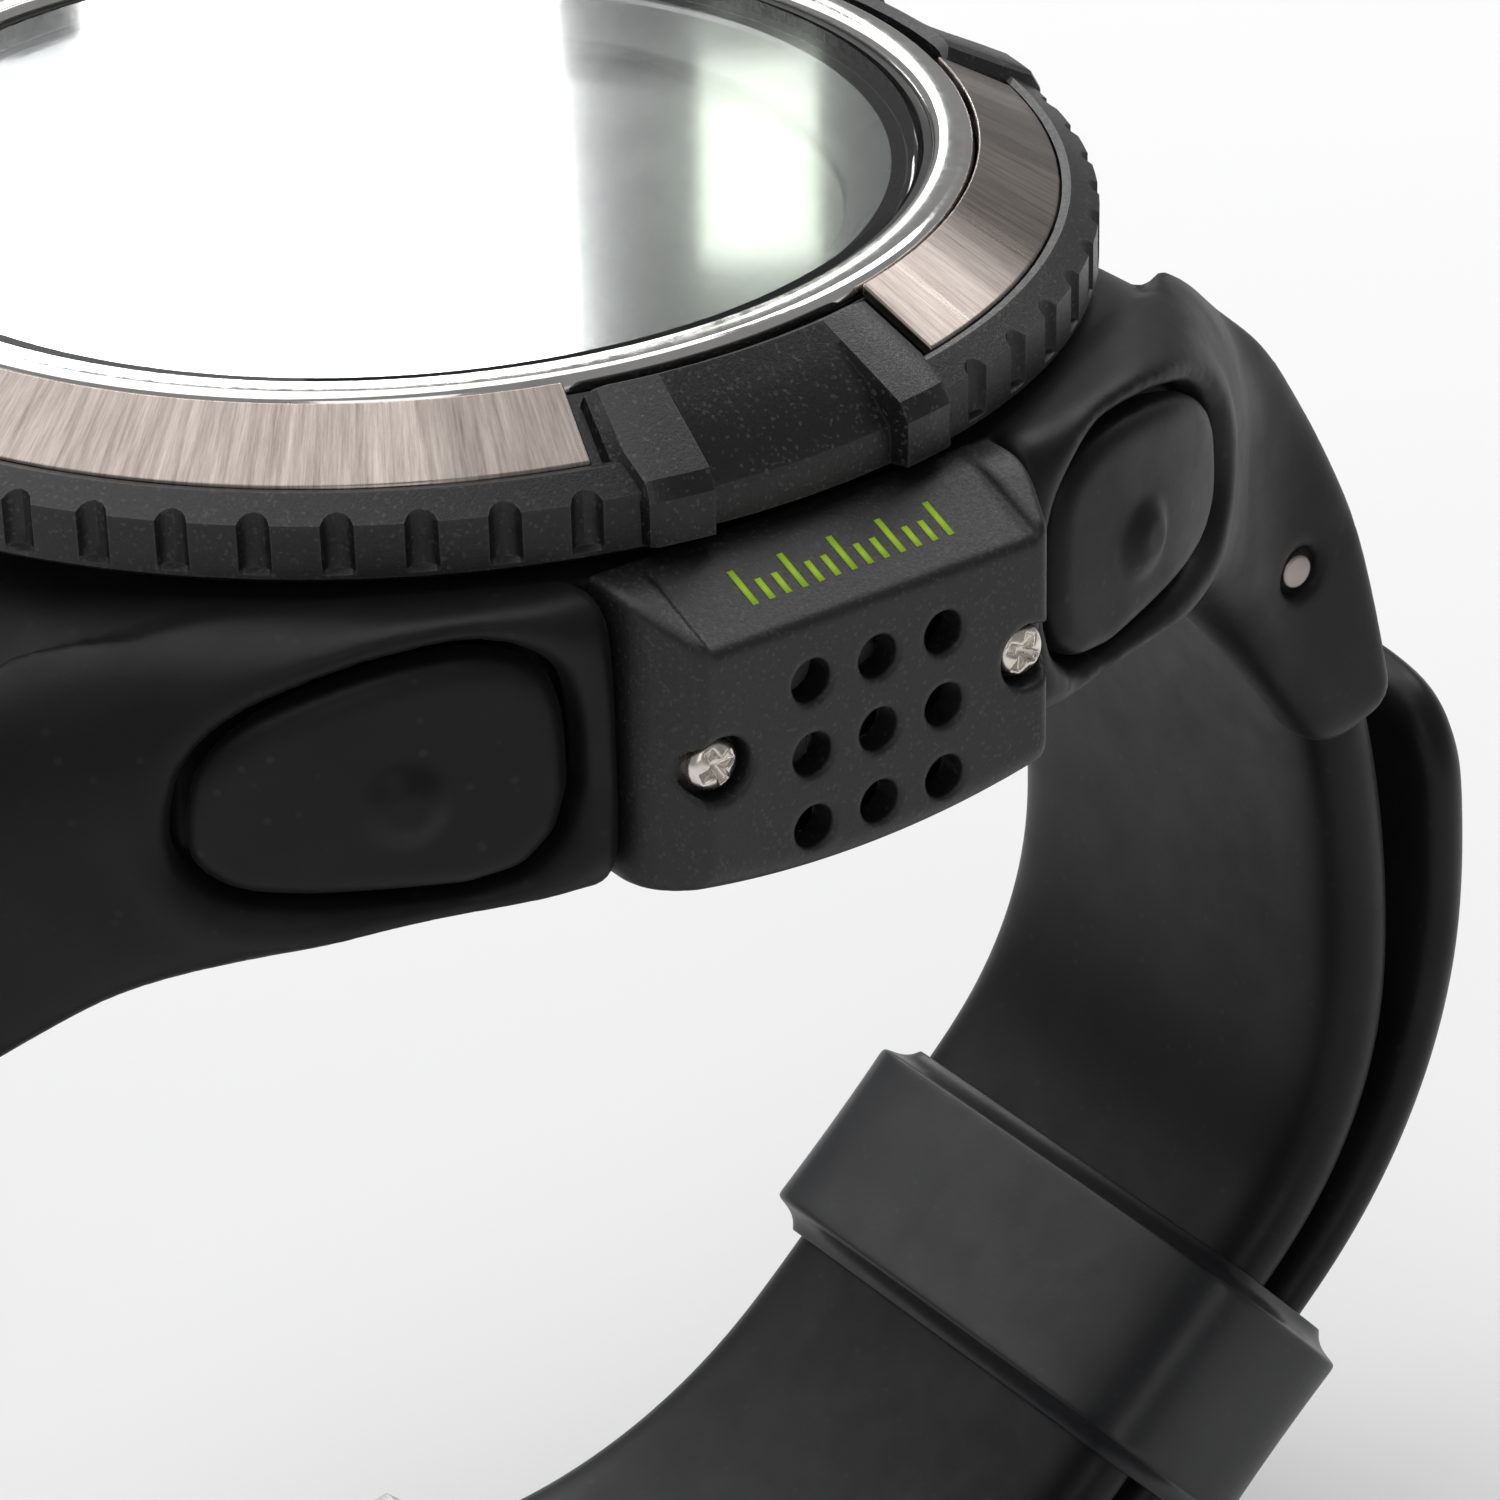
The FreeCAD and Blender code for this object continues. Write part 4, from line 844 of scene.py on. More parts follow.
def jacketForm(x, y, z):
    ax, ay = np.abs(x), np.abs(y)
    u, v, out = inPadFrame(x, y, z)
    pad = outlineDistance(u, v, pushPad["outline"]) - pushPad["corner"]
    near = np.where(out > -5, pad, 9.0)
    side = flankForm(x, y) + pushPad["frameSink"] * (1 - easeIn(near, 0.3, pushPad["frame"]))
    side = side - pushPad["rimDepth"] * np.exp(-((near - pushPad["rimAt"]) / pushPad["rimHalf"]) ** 2)

    # the hood falls away over the lug, and a wing beside it keeps a ridge
    slope = leaning(ay, z - jacket["top"], jacket["hoodSlope"])
    archY, archZ, archRadius = jacket["hoodArch"]
    arch = np.hypot(ay + archY, z + archZ) - archRadius
    hood = softMax(softMax(slope, arch, 1.2), z - jacket["top"], 1.5)
    fall = np.maximum(0.6 * ax + 0.8 * ay - jacket["wingFrom"], 0)
    rise = jacket["ridgeRise"] + 0.4 * easeIn(ay, 25, 29) - 0.6 * easeIn(ay, 32, 35)
    wing = softMax(0.85 * (z - jacket["top"] + jacket["wingFall"] * fall ** 2), hood - rise, 1.5)
    wing = np.maximum(wing, z - jacket["top"])
    ridgeY, ridgeX = np.array(jacket["ridge"]).T
    beyond = easeIn(ax - np.interp(ay, ridgeY, ridgeX), -0.9, 0.5)
    over = hood + jacket["hoodDish"] + (wing - hood - jacket["hoodDish"]) * beyond

    archY, archZ, archRadius = jacket["wristArch"]
    wrist = archRadius - np.hypot(ay + archY, z + archZ)
    under = softMin(jacket["under"] - z, wrist, 3)
    tip = leaning(ay, z, jacket["hornTip"])
    bend, tipward = easeIn(ay, 16, 23), easeIn(ay, 25, 29)
    body = softMax(side, over, jacket["edge"] + 1.5 * bend - 1.6 * tipward)
    body = softMax(body, softMax(under, tip, 1.5), 2 + 1.6 * bend - 2 * tipward)

    # the bore, the sensor's recess, the pads' windows, and the pin's holes and slot
    body = softMax(body, jacket["bore"] - np.hypot(x, y), 0.3)
    recessX, recessHalf = jacket["recess"]
    recess = np.maximum(recessX - x, ay - recessHalf)
    body = softMax(body, -recess, 0.7)
    window = np.maximum(pad - pushPad["groove"], -pushPad["window"] - out)
    body = softMax(body, -window, 0.9)
    dimpleRadius, dimpleDepth = jacket["dimple"]
    dimple = np.maximum(np.hypot(ay - pinY, z - pinZ) - dimpleRadius, jacket["hornHalf"] - dimpleDepth - ax)
    body = softMax(body, -dimple, 0.4)
    lean = math.radians(jacket["slotLean"])
    below = (z - pinZ) * math.cos(lean) - (ay - pinY) * math.sin(lean)
    knuckle = np.hypot(ay - pinY, z - pinZ) - jacket["slotKnuckle"]
    slot = np.maximum(ax - jacket["slotHalf"], np.minimum(below, knuckle))
    return softMax(body, -slot, 0.8)


def padForm(x, y, z):
    u, v, out = inPadFrame(x, y, z)
    pad = outlineDistance(u, v, pushPad["outline"]) - pushPad["corner"]
    dome = 1 - easeIn(np.hypot(u, v), 0.3 * pushPad["dot"], pushPad["dot"])
    face = flankForm(x, y) + pushPad["inset"] - pushPad["dotRise"] * dome
    return softMax(softMax(face, pad, pushPad["pillow"]), -pushPad["behind"] - out, 0.3)


def makeJacket():
    low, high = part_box("case_jacket")
    mesh = mouldedMesh("caseJacket", jacketForm, [a / mm - 1.2 for a in low],
                       [a / mm + 1.2 for a in high], jacket["step"])
    addPiece("caseJacket", mesh, caseRubber, "case", ["case_jacket"])


def makePads():
    for number in range(1, 5):
        name, node = f"pushPad_{number}", f"button_pad_{number}"
        low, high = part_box(node)
        mesh = mouldedMesh(name, padForm, [a / mm - 0.8 for a in low], [a / mm + 0.8 for a in high],
                           pushPad["step"])
        addPiece(name, mesh, padRubber, f"button_{number}", [node])


makeJacket()
makePads()
print("jacket and pads moulded")


def closedMesh(name, points, faces):
    # closed shell from corners in millimetres, its faces turned outwards
    mesh = bpy.data.meshes.new(name)
    mesh.from_pydata([[value * mm for value in point] for point in points], [], faces)
    shell = bmesh.new()
    shell.from_mesh(mesh)
    bmesh.ops.recalc_face_normals(shell, faces=shell.faces)
    shell.to_mesh(mesh)
    shell.free()
    mesh.shade_smooth()
    return mesh


def roundOff(piece, levels):
    smooth = piece.modifiers.new("Rounded", "SUBSURF")
    smooth.levels = levels
    smooth.render_levels = levels


def breakEdges(piece, width, segments=2, angle=30):
    edges = piece.modifiers.new("Broken edges", "BEVEL")
    edges.width = width * mm
    edges.segments = segments
    edges.limit_method = "ANGLE"
    edges.angle_limit = math.radians(angle)
    edges.harden_normals = True


strap = {
    "half": 10.3, "edge": 1.15, "thick": 3.3, "gap": 0.25, "pace": 2.2, "levels": 2, "flat": 7.0,
    "crownShort": 0.25, "crownLong": 1.25,
    "bottom": 8.0, "face": -49.6, "rise": [(42, 20), (0, 12.5), (48, 13.5), (20, 44), (37, 9.85)],
    "tail": 10.4, "tailEase": 3.0, "dip": 14, "rejoin": 10, "dipStart": -7.0, "knuckle": 3.0,
    "eye": 1.85, "eyePlace": (4.5, -51.0), "tongueSlot": 1.38, "slotLip": 0.5, "tip": 4.6, "tipHalf": 0.72,
}
keeper = {
    "inside": (10.42, 3.64), "corner": 1.1, "wall": 1.55, "half": 3.75, "skirt": 4.6, "shift": 0.9,
    "levels": 2,
}


def followPath(y, z, heading, steps, pace):
    # stations (y, z, heading) along runs (0, length) and bends (degrees, radius)
    stations = [(y, z, heading)]
    for degrees, reach in steps:
        bend = math.radians(degrees)
        count = max(2, round((abs(bend) * reach if bend else reach) / pace))
        chord = 2 * reach * math.sin(abs(bend) / count / 2) if bend else reach / count
        for _ in range(count):
            y += chord * math.cos(heading + bend / count / 2)
            z += chord * math.sin(heading + bend / count / 2)
            heading += bend / count
            stations.append((y, z, heading))
    return stations


def lengthsAlong(stations):
    # run from the first station to each one
    along = [0.0]
    for (y0, z0, _), (y1, z1, _) in zip(stations[:-1], stations[1:]):
        along.append(along[-1] + math.hypot(y1 - y0, z1 - z0))
    return along


def strapMesh(name, rows, slotRows, crown):
    # rows of (y, z, heading, inner offset, outer offset, share of the width); the slot runs between two rows
    h, e, s, lip = strap["half"], strap["edge"], strap["tongueSlot"], strap["slotLip"]
    right = [s, s + lip, h / 2, strap["flat"], h - e, h]
    columns = [-x for x in right[::-1]] + right
    count, slot = len(columns), len(right) - 1
    points, faces = [], []
    for y, z, heading, low, high, share in rows:
        outY, outZ = math.sin(heading), -math.cos(heading)
        soft = min(e * 0.8, (high - low) * 0.3) / (1 + crown)
        fall = crown * (high - low) / strap["thick"]
        for side in (0, 1):
            for index, x in enumerate(columns):
                rim = index in (0, count - 1)
                level = high - fall * (abs(x) / h) ** 3 - rim * soft if side else low + rim * soft
                points.append((x * share, y + outY * level, z + outZ * level))
    for row in range(len(rows) - 1):
        a, b = 2 * count * row, 2 * count * (row + 1)
        slotted = slotRows[0] <= row < slotRows[1]
        for side in (0, count):
            for k in range(count - 1):
                if not (slotted and k == slot):
                    faces.append((a + side + k, a + side + k + 1, b + side + k + 1, b + side + k))
        walls = [0, count - 1] + ([slot, slot + 1] if slotted else [])
        faces += [(a + k, b + k, b + count + k, a + count + k) for k in walls]
    for row in (0, len(rows) - 1):
        a = 2 * count * row
        for k in range(count - 1):
            if not (k == slot and row in slotRows):
                faces.append((a + k, a + k + 1, a + count + k + 1, a + count + k))
    for row in slotRows:
        if 0 < row < len(rows) - 1:
            a = 2 * count * row
            faces.append((a + slot, a + slot + 1, a + count + slot + 1, a + count + slot))
    return closedMesh(name, points, faces)


def knuckleRows(stations, reach):
    # the strap's end swells round its pin, whose centre is the end of the strap's middle line
    thick, rows = strap["thick"], []
    along = lengthsAlong(stations)
    for (y, z, heading), run in zip(stations, along):
        left = along[-1] - run
        half = max(thick / 2, math.sqrt(max(reach ** 2 - left ** 2, 0)))
        rows.append((y, z, heading, thick / 2 - half, thick / 2 + half, 1.0))
    y, z, heading = stations[-1]
    for share in (0.45, 0.78, 0.97):
        half = reach * math.sqrt(1 - share ** 2)
        rows.append((y + reach * share * math.cos(heading), z + reach * share * math.sin(heading), heading,
                     thick / 2 - half, thick / 2 + half, 1.0))
    return rows


def makeStraps():
    thick, rise, bottom, face = strap["thick"], strap["rise"], strap["bottom"], strap["face"]
    eyeY, eyeZ = strap["eyePlace"]
    climb = followPath(bottom, face, 0.0, rise, strap["pace"])
    rows = []
    middle = face - eyeZ
    for share in (-0.97, -0.75, -0.4, 0.0, 0.45):
        half = strap["eye"] * math.sqrt(1 - share ** 2)
        rows.append((eyeY + strap["eye"] * share, face, 0.0, middle - half, middle + half, 1.0))
    rows += [(eyeY + away, face, 0.0, 0.0, thick, 1.0) for away in (2.2, 3.4)]
    rows += knuckleRows(climb, strap["knuckle"])
    mesh = strapMesh("strapShort", rows, (0, 6), strap["crownShort"])
    roundOff(addPiece("strapShort", mesh, strapRubber, "case", ["strap_short"]),
             strap["levels"])

    down = [(-y, z, -heading) for y, z, heading in climb[::-1]]
    knuckle = [(-y, z, -heading, low, high, share)
               for y, z, heading, low, high, share in knuckleRows(climb, strap["knuckle"])[::-1]]
    outside = thick + strap["gap"]
    swing = math.acos(1 - outside / (strap["dip"] + strap["rejoin"]))
    crossing = (strap["dip"] + strap["rejoin"]) * math.sin(swing)
    start = strap["dipStart"]
    tail = [(degrees, reach + outside * (degrees > 0)) for degrees, reach in rise[:3]]
    tail[2] = (tail[2][0], tail[2][1] + strap["tailEase"])
    tail.append((strap["tail"], rise[3][1] + outside))
    y, z, heading = down[-1]
    path = followPath(y, z, heading, [
        (0, start + bottom), (-math.degrees(swing), strap["dip"]), (math.degrees(swing), strap["rejoin"]),
        (0, bottom - start - crossing)] + tail, strap["pace"])
    along = lengthsAlong(path)
    rows = knuckle
    for (y, z, heading), run in list(zip(path, along))[1:]:
        if along[-1] - run >= strap["tip"]:
            rows.append((y, z, heading, 0.0, thick, 1.0))
    bend = 1 / (rise[3][1] + outside)
    y, z, heading = path[-1]
    for left in (4.0, 3.0, 2.1, 1.3, 0.65, 0.2, 0.0):
        back = heading - left * bend
        spotY = y - left * math.cos(heading - left * bend / 2)
        spotZ = z - left * math.sin(heading - left * bend / 2)
        width = strap["tipHalf"] + (1 - strap["tipHalf"]) * math.sqrt(1 - (1 - left / 4.0) ** 2)
        thin = 0.9 * max(1 - left / 1.3, 0) ** 2
        rows.append((spotY, spotZ, back, thin, thick - thin, width))
    slotFrom = next(index for index, row in enumerate(rows) if row[1] < face + 1 and row[0] > -8.0)
    slotTo = next(index for index, row in enumerate(rows) if index > slotFrom and row[0] > 3.0)
    mesh = strapMesh("strapLong", rows, (slotFrom, slotTo), strap["crownLong"])
    roundOff(addPiece("strapLong", mesh, strapRubber, "case", ["strap_long"]),
             strap["levels"])
    return climb


def makeKeeper(climb):
    # ring round both layers with sharp rims and thin skirts that hug the strap
    across, deep = keeper["inside"]
    wall, half, skirt, corner = keeper["wall"], keeper["half"], keeper["skirt"], keeper["corner"]
    section = [(-skirt, 0.0), (-skirt, 0.1), (-half - 0.5, 0.3), (-half - 0.2, 0.75),
               (-half - 0.06, wall - 0.1), (-half + 0.06, wall + 0.05), (-half + 0.7, wall), (0, wall - 0.05)]
    section += [(-a, out) for a, out in section[-2::-1]] + [(0, 0.0)]
    degrees, reach = strap["rise"][0]
    turn = math.radians(degrees)
    lowY = strap["bottom"] + reach * math.sin(turn)
    lowZ = strap["face"] + reach * (1 - math.cos(turn))
    both = 2 * strap["thick"] + strap["gap"]
    run = strap["rise"][1][1] / 2 + keeper["shift"]
    middleY = lowY + run * math.cos(turn) + both / 2 * math.sin(turn)
    middleZ = lowZ + run * math.sin(turn) - both / 2 * math.cos(turn)
    points, faces, spots = [], [], []
    signs = [(1, 1), (-1, 1), (-1, -1), (1, -1)]
    for quarter, (signX, signD) in enumerate(signs):
        for share in (0.0, 0.5, 1.0):
            angle = math.radians(90 * (quarter + share))
            spots.append((signX * (across - corner), signD * (deep - corner),
                          math.cos(angle), math.sin(angle)))
        nextX, nextD = signs[(quarter + 1) % 4]
        spots.append(((signX + nextX) / 2 * (across - corner), (signD + nextD) / 2 * (deep - corner),
                      math.cos(angle), math.sin(angle)))
    for centreX, centreD, normalX, normalD in spots:
        for along, out in section:
            x = centreX + (corner + out) * normalX
            deepness = centreD + (corner + out) * normalD
            points.append((x, middleY + along * math.cos(turn) - deepness * math.sin(turn),
                           middleZ + along * math.sin(turn) + deepness * math.cos(turn)))
    rings, size = len(spots), len(section)
    for ring in range(rings):
        for k in range(size):
            after = (ring + 1) % rings * size
            faces.append((ring * size + k, ring * size + (k + 1) % size, after + (k + 1) % size, after + k))
    piece = addPiece("strapKeeper", closedMesh("strapKeeper", points, faces), keeperRubber, "keeper",
                     ["strap_keeper"])
    roundOff(piece, keeper["levels"])


makeKeeper(makeStraps())
print("straps and keeper made")


def turnedTo(angle, profile):
    return [(r, z, angle) for r, z in profile]


def polarMesh(name, rings, closed):
    # closed shell from rings of (radius, height, degrees) corners
    size = len(rings[0])
    points = [(r * math.cos(math.radians(angle)), r * math.sin(math.radians(angle)), z)
              for ring in rings for r, z, angle in ring]
    faces = []
    for index in range(len(rings) if closed else len(rings) - 1):
        a, b = index * size, (index + 1) % len(rings) * size
        faces += [(a + k, a + (k + 1) % size, b + (k + 1) % size, b + k) for k in range(size)]
    if not closed:
        faces += [tuple(range(size)), tuple(range((len(rings) - 1) * size, len(rings) * size))]
    return closedMesh(name, points, faces)


bezel = {
    "inner": 19.98, "outer": 24.0, "bottom": 11.27, "shoulder": 13.2, "rim": (23.05, 13.85), "lip": 0.3,
    "flutes": 60, "fluteRadius": 0.52, "fluteCentre": 24.12, "seat": 13.35, "edge": 0.07,
}
insert = {
    "inner": 19.99, "innerTop": 15.39, "outer": 22.68, "outerTop": 13.86, "thick": 0.45, "half": 28.5,
    "steps": 24, "edge": 0.1,
}
# a cheek's rings: degrees past the grip's top and front, and how far the ring sinks
grip = {
    "half": 13.0, "rib": 4.4, "step": 0.35, "sink": 0.62, "edge": 0.2,
    "cheek": [(1.2, 0.6, 0.1), (2.1, 1.0, 0.45), (2.6, 1.2, 1.2)],
}
polished = {
    "profile": [(18.78, 15.5), (19.45, 15.5), (19.64, 15.46), (19.78, 15.36), (19.87, 15.2), (19.87, 14.9),
                (19.87, 12.6), (19.62, 12.3), (19.87, 12.0), (19.87, 10.6), (17.65, 10.6), (17.65, 12.9),
                (18.46, 12.9), (18.46, 15.1), (18.5, 15.3), (18.62, 15.44)],
    "steps": 160, "merge": 0.002, "flatWeight": 80,
}


def makeBezelRing():
    outer, shoulder, bottom = bezel["outer"], bezel["shoulder"], bezel["bottom"]
    rimR, rimZ = bezel["rim"]
    slope = (rimZ - shoulder) / (outer - rimR)

    def fullRing(depth):
        wall = outer - depth
        top = shoulder + depth * slope
        return [(bezel["inner"], bottom), (outer - 0.18, bottom), (outer, bottom + 0.16),
                (outer, bottom + bezel["lip"]), (outer - depth * 0.75, bottom + bezel["lip"] + 0.12),
                (wall, bottom + bezel["lip"] + 0.4), (wall, bottom + 1.2), (wall, top),
                (rimR, rimZ), (22.75, 13.8), (22.75, 13.33), (bezel["inner"], 14.88)]

    seatWall, seatTop = 22.5, 12.5
    seatRing = [(bezel["inner"], bottom), (seatWall - 0.2, bottom)]
    seatRing += [(seatWall, bottom + up) for up in (0.1, 0.4, 0.7, 0.9, 1.1)]
    seatRing += [(r, seatTop) for r in (seatWall, 22.2, 21.6, 21.0, bezel["inner"])]
    columns = []
    pitch = 360 / bezel["flutes"]
    halfFlute = math.degrees(math.asin(math.sqrt(
        bezel["fluteRadius"] ** 2 - (bezel["fluteCentre"] - outer) ** 2) / outer))
    for quarter in range(4):
        low, high = 90 * quarter + bezel["seat"], 90 * (quarter + 1) - bezel["seat"]
        angles = {low, high}
        for index in range(bezel["flutes"] + 1):
            middle = index * pitch
            if low < middle < high:
                angles.update(middle + share * halfFlute for share in (-1, -0.8, -0.5, 0, 0.5, 0.8, 1))
                angles.add(middle + pitch / 2)
        for angle in sorted(value for value in angles if low <= value <= high):
            off = (angle + pitch / 2) % pitch - pitch / 2
            sideways = outer * math.sin(math.radians(off))
            inside = bezel["fluteRadius"] ** 2 - sideways ** 2
            depth = 0.0
            if inside > 0:
                depth = max(outer - bezel["fluteCentre"] + math.sqrt(inside), 0)
            columns.append(turnedTo(angle, fullRing(depth)))
        for step in range(5):
            angle = high + 0.06 + (2 * bezel["seat"] - 0.12) * step / 4
            columns.append(turnedTo(angle, seatRing))
    piece = addPiece("bezelRing", polarMesh("bezelRing", columns, True), bezelResin, "bezel",
                     ["bezel_ring"])
    breakEdges(piece, bezel["edge"], 2, 28)


def makeInsert():
    inner, outer, thick = insert["inner"], insert["outer"], insert["thick"]
    section = [(inner, insert["innerTop"] - thick), (inner, insert["innerTop"]), (outer, insert["outerTop"]),
               (outer, insert["outerTop"] - thick)]
    for quarter in range(4):
        columns = []
        for step in range(insert["steps"] + 1):
            angle = 90 * quarter + 45 + insert["half"] * (step / (insert["steps"] / 2) - 1)
            columns.append(turnedTo(angle, section))
        name = f"bezelInsert_{quarter + 1}"
        piece = addPiece(name, polarMesh(name, columns, False), insertSteel, "bezel",
                         ["bezel_insert"])
        breakEdges(piece, insert["edge"], 2, 30)


def makeGrips():
    half, panel, sink = grip["half"], grip["half"] - grip["rib"], grip["sink"]
    rib = [(22.6, 12.6), (22.6, 11.5), (23.6, 11.47), (24.42, 11.5), (24.45, 12.3), (24.44, 13.0),
           (24.1, 13.62), (23.0, 14.22), (21.6, 14.95), (20.8, 15.37), (20.42, 15.2), (20.42, 12.6)]
    sunk = [(22.6, 12.6), (22.6, 11.5), (23.2, 11.47), (24.42 - sink, 11.5), (24.45 - sink, 12.2),
            (24.38 - sink, 12.75), (23.95 - sink, 13.2), (22.85, 13.9), (21.55, 14.83), (20.8, 15.37),
            (20.42, 15.2), (20.42, 12.6)]
    # where each corner of the rib sinks to at the rounded cheek
    lean = [(0, 0)] * 3 + [(1, 0), (1, 0), (0.9, 0.3), (0.7, 0.7)] + [(0.5, 0.87)] * 3 + [(0, 0.6), (0, 0)]

    def cheekRing(middle, side, topTurn, frontTurn, depth):
        return [(r - inwards * depth, z - down * depth,
                 middle + side * (half + (topTurn if index > 6 else frontTurn)))
                for index, ((r, z), (inwards, down)) in enumerate(zip(rib, lean))]

    for number in range(1, 5):
        middle = 90 * (number - 1)
        columns = [cheekRing(middle, -1, *row) for row in grip["cheek"][::-1]]
        for angle in (-half, -(half + panel) / 2, -panel, -panel + grip["step"], -panel / 2, 0.0, panel / 2,
                      panel - grip["step"], panel, (half + panel) / 2, half):
            columns.append(turnedTo(middle + angle, sunk if abs(angle) < panel else rib))
        columns += [cheekRing(middle, 1, *row) for row in grip["cheek"]]
        name = f"bezelGrip_{number}"
        piece = addPiece(name, polarMesh(name, columns, False), gripResin, "bezel",
                         [f"bezel_grip_{number}"])
        breakEdges(piece, grip["edge"], 3, 25)


def makePolishedRing():
    # profile runs down the outside and up the inside
    profile = polished["profile"]
    mesh = bpy.data.meshes.new("polishedRing")
    mesh.from_pydata([(r * mm, 0, z * mm) for r, z in profile],
                     [(k, (k + 1) % len(profile)) for k in range(len(profile))], [])
    piece = addPiece("polishedRing", mesh, polishedSteel, "case", ["crystal_ring"])
    turned = piece.modifiers.new("Turned", "SCREW")
    turned.axis = "Z"
    turned.steps = polished["steps"]
    turned.render_steps = polished["steps"]
    turned.use_merge_vertices = True
    turned.merge_threshold = polished["merge"] * mm
    turned.use_smooth_shade = True
    flat = piece.modifiers.new("Flat lands", "WEIGHTED_NORMAL")
    flat.weight = polished["flatWeight"]


makeBezelRing()
makeInsert()
makeGrips()
makePolishedRing()
print("bezel made")


cover = {
    "back": 23.0, "front": 27.38, "top": 10.95, "half": 7.68, "bottom": 0.27, "rimRise": 0.3, "rimFrom": 6.1,
    "slope": (27.4, 9.5, 1.45, 3.5, 3.788), "chin": (27.4, 0, 1.05, -1.8, 2.084), "chinHeight": 1.0,
    "cheek": (27.4, 6.6, 1.1, 2.4, 2.64), "bow": 6.6, "hollow": (4.2, 26.2),
    "ports": (0.725, 2.53, 4.9), "screws": (5.9, 5.5), "counterbore": (1.1, 26.35), "step": 0.14,
}
coverScrew = {
    "head": 0.88, "top": 27.2, "dome": 0.3, "foot": 26.2, "arm": (0.16, 0.62), "flare": 0.25, "depth": 0.5,
    "turns": (24, 61), "step": 0.07,
}
marks = {
    "count": 13, "pitch": 0.62, "long": 1.35, "short": 0.8, "longEvery": 3, "half": 0.11, "lift": 0.025,
    "root": -0.05, "middle": 25.55,
}


def slopeHeight(x):
    placeX, placeZ, leanX, leanZ, _ = cover["slope"]
    return placeZ + (placeX - x) * leanX / leanZ


def coverForm(x, y, z):
    ay = np.abs(y)
    reach = (ay / cover["bow"]) ** 2
    rim = cover["rimRise"] * easeIn(ay, cover["rimFrom"], cover["rimFrom"] + 0.3)
    slope = leaning(x, z, cover["slope"]) - rim
    chin = leaning(x, z - cover["chinHeight"] - 0.7 * reach, cover["chin"])
    under = cover["bottom"] + 0.45 * reach - z
    side = softMax(ay - cover["half"], leaning(x, ay, cover["cheek"]), 0.4)
    body = softMax(x - cover["front"], softMax(slope, z - cover["top"], 0.3), 0.28)
    body = softMax(body, softMax(chin, under, 0.8), 0.6)
    body = softMax(body, side, 0.3)
    body = np.maximum(body, cover["back"] - x)
    radius, pitch, height = cover["ports"]
    portY = ay - pitch * np.clip(np.round(ay / pitch), 0, 1)
    portZ = z - height - pitch * np.clip(np.round((z - height) / pitch), -1, 1)
    body = softMax(body, radius - np.hypot(portY, portZ), 0.16)
    hollowHalf, hollowEnd = cover["hollow"]
    hollow = np.maximum(np.maximum(ay, np.abs(z - height)) - hollowHalf, x - hollowEnd)
    body = np.maximum(body, -hollow)
    boreRadius, boreFloor = cover["counterbore"]
    bore = np.maximum(np.hypot(ay - cover["screws"][0], z - cover["screws"][1]) - boreRadius, boreFloor - x)
    return softMax(body, -bore, 0.2)


def screwForm(spotY, spotZ, turn):
    angle = math.radians(turn)

    def form(x, y, z):
        u = (y - spotY) * math.cos(angle) + (z - spotZ) * math.sin(angle)
        v = (z - spotZ) * math.cos(angle) - (y - spotY) * math.sin(angle)
        radius = np.hypot(u, v)
        head = softMax(radius - coverScrew["head"],
                       x - coverScrew["top"] + coverScrew["dome"] * (radius / coverScrew["head"]) ** 2, 0.2)
        head = softMax(head, coverScrew["foot"] - x, 0.1)
        armHalf, armReach = coverScrew["arm"]
        armHalf = armHalf + coverScrew["flare"] * (x - coverScrew["top"] + coverScrew["depth"] / 2)
        cross = np.minimum(np.maximum(np.abs(u) - armHalf, np.abs(v) - armReach),
                           np.maximum(np.abs(v) - armHalf, np.abs(u) - armReach))
        recess = np.maximum(cross, coverScrew["top"] - coverScrew["depth"] + 0.35 * radius - x)
        return softMax(head, -recess, 0.08)
    return form


def makeCover():
    low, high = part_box("sensor_cover")
    mesh = mouldedMesh("sensorCover", coverForm, [a / mm - 0.5 for a in low], [a / mm + 0.7 for a in high],
                       cover["step"])
    addPiece("sensorCover", mesh, coverResin, "case", ["sensor_cover"])
    for number, side in ((1, -1), (2, 1)):
        spotY, spotZ = side * cover["screws"][0], cover["screws"][1]
        name = f"coverScrew_{number}"
        mesh = mouldedMesh(name, screwForm(spotY, spotZ, coverScrew["turns"][number - 1]),
                           (coverScrew["foot"] - 0.3, spotY - 1.2, spotZ - 1.2),
                           (coverScrew["top"] + 0.3, spotY + 1.2, spotZ + 1.2), coverScrew["step"])
        addPiece(name, mesh, screwSteel, "case", [f"sensor_screw_{number}"])


def makeMarks():
    # plain graduation printed on the cover's slope
    points, faces = [], []
    for index in range(marks["count"]):
        y = (index - (marks["count"] - 1) / 2) * marks["pitch"]
        reach = marks["long"] if index % marks["longEvery"] == 0 else marks["short"]
        ends = (marks["middle"] + marks["long"] / 2 - reach, marks["middle"] + marks["long"] / 2)
        first = len(points)
        for lift in (marks["root"], marks["lift"]):
            for x, side in ((ends[0], -1), (ends[1], -1), (ends[1], 1), (ends[0], 1)):
                points.append((x, y + side * marks["half"], slopeHeight(x) + lift))
        for quad in ((3, 2, 1, 0), (4, 5, 6, 7), (0, 1, 5, 4), (1, 2, 6, 5), (2, 3, 7, 6), (3, 0, 4, 7)):
            faces.append(tuple(first + corner for corner in quad))
    addPiece("coverMarks", closedMesh("coverMarks", points, faces), markInk, "case", [])


makeCover()
makeMarks()
print("sensor cover made")


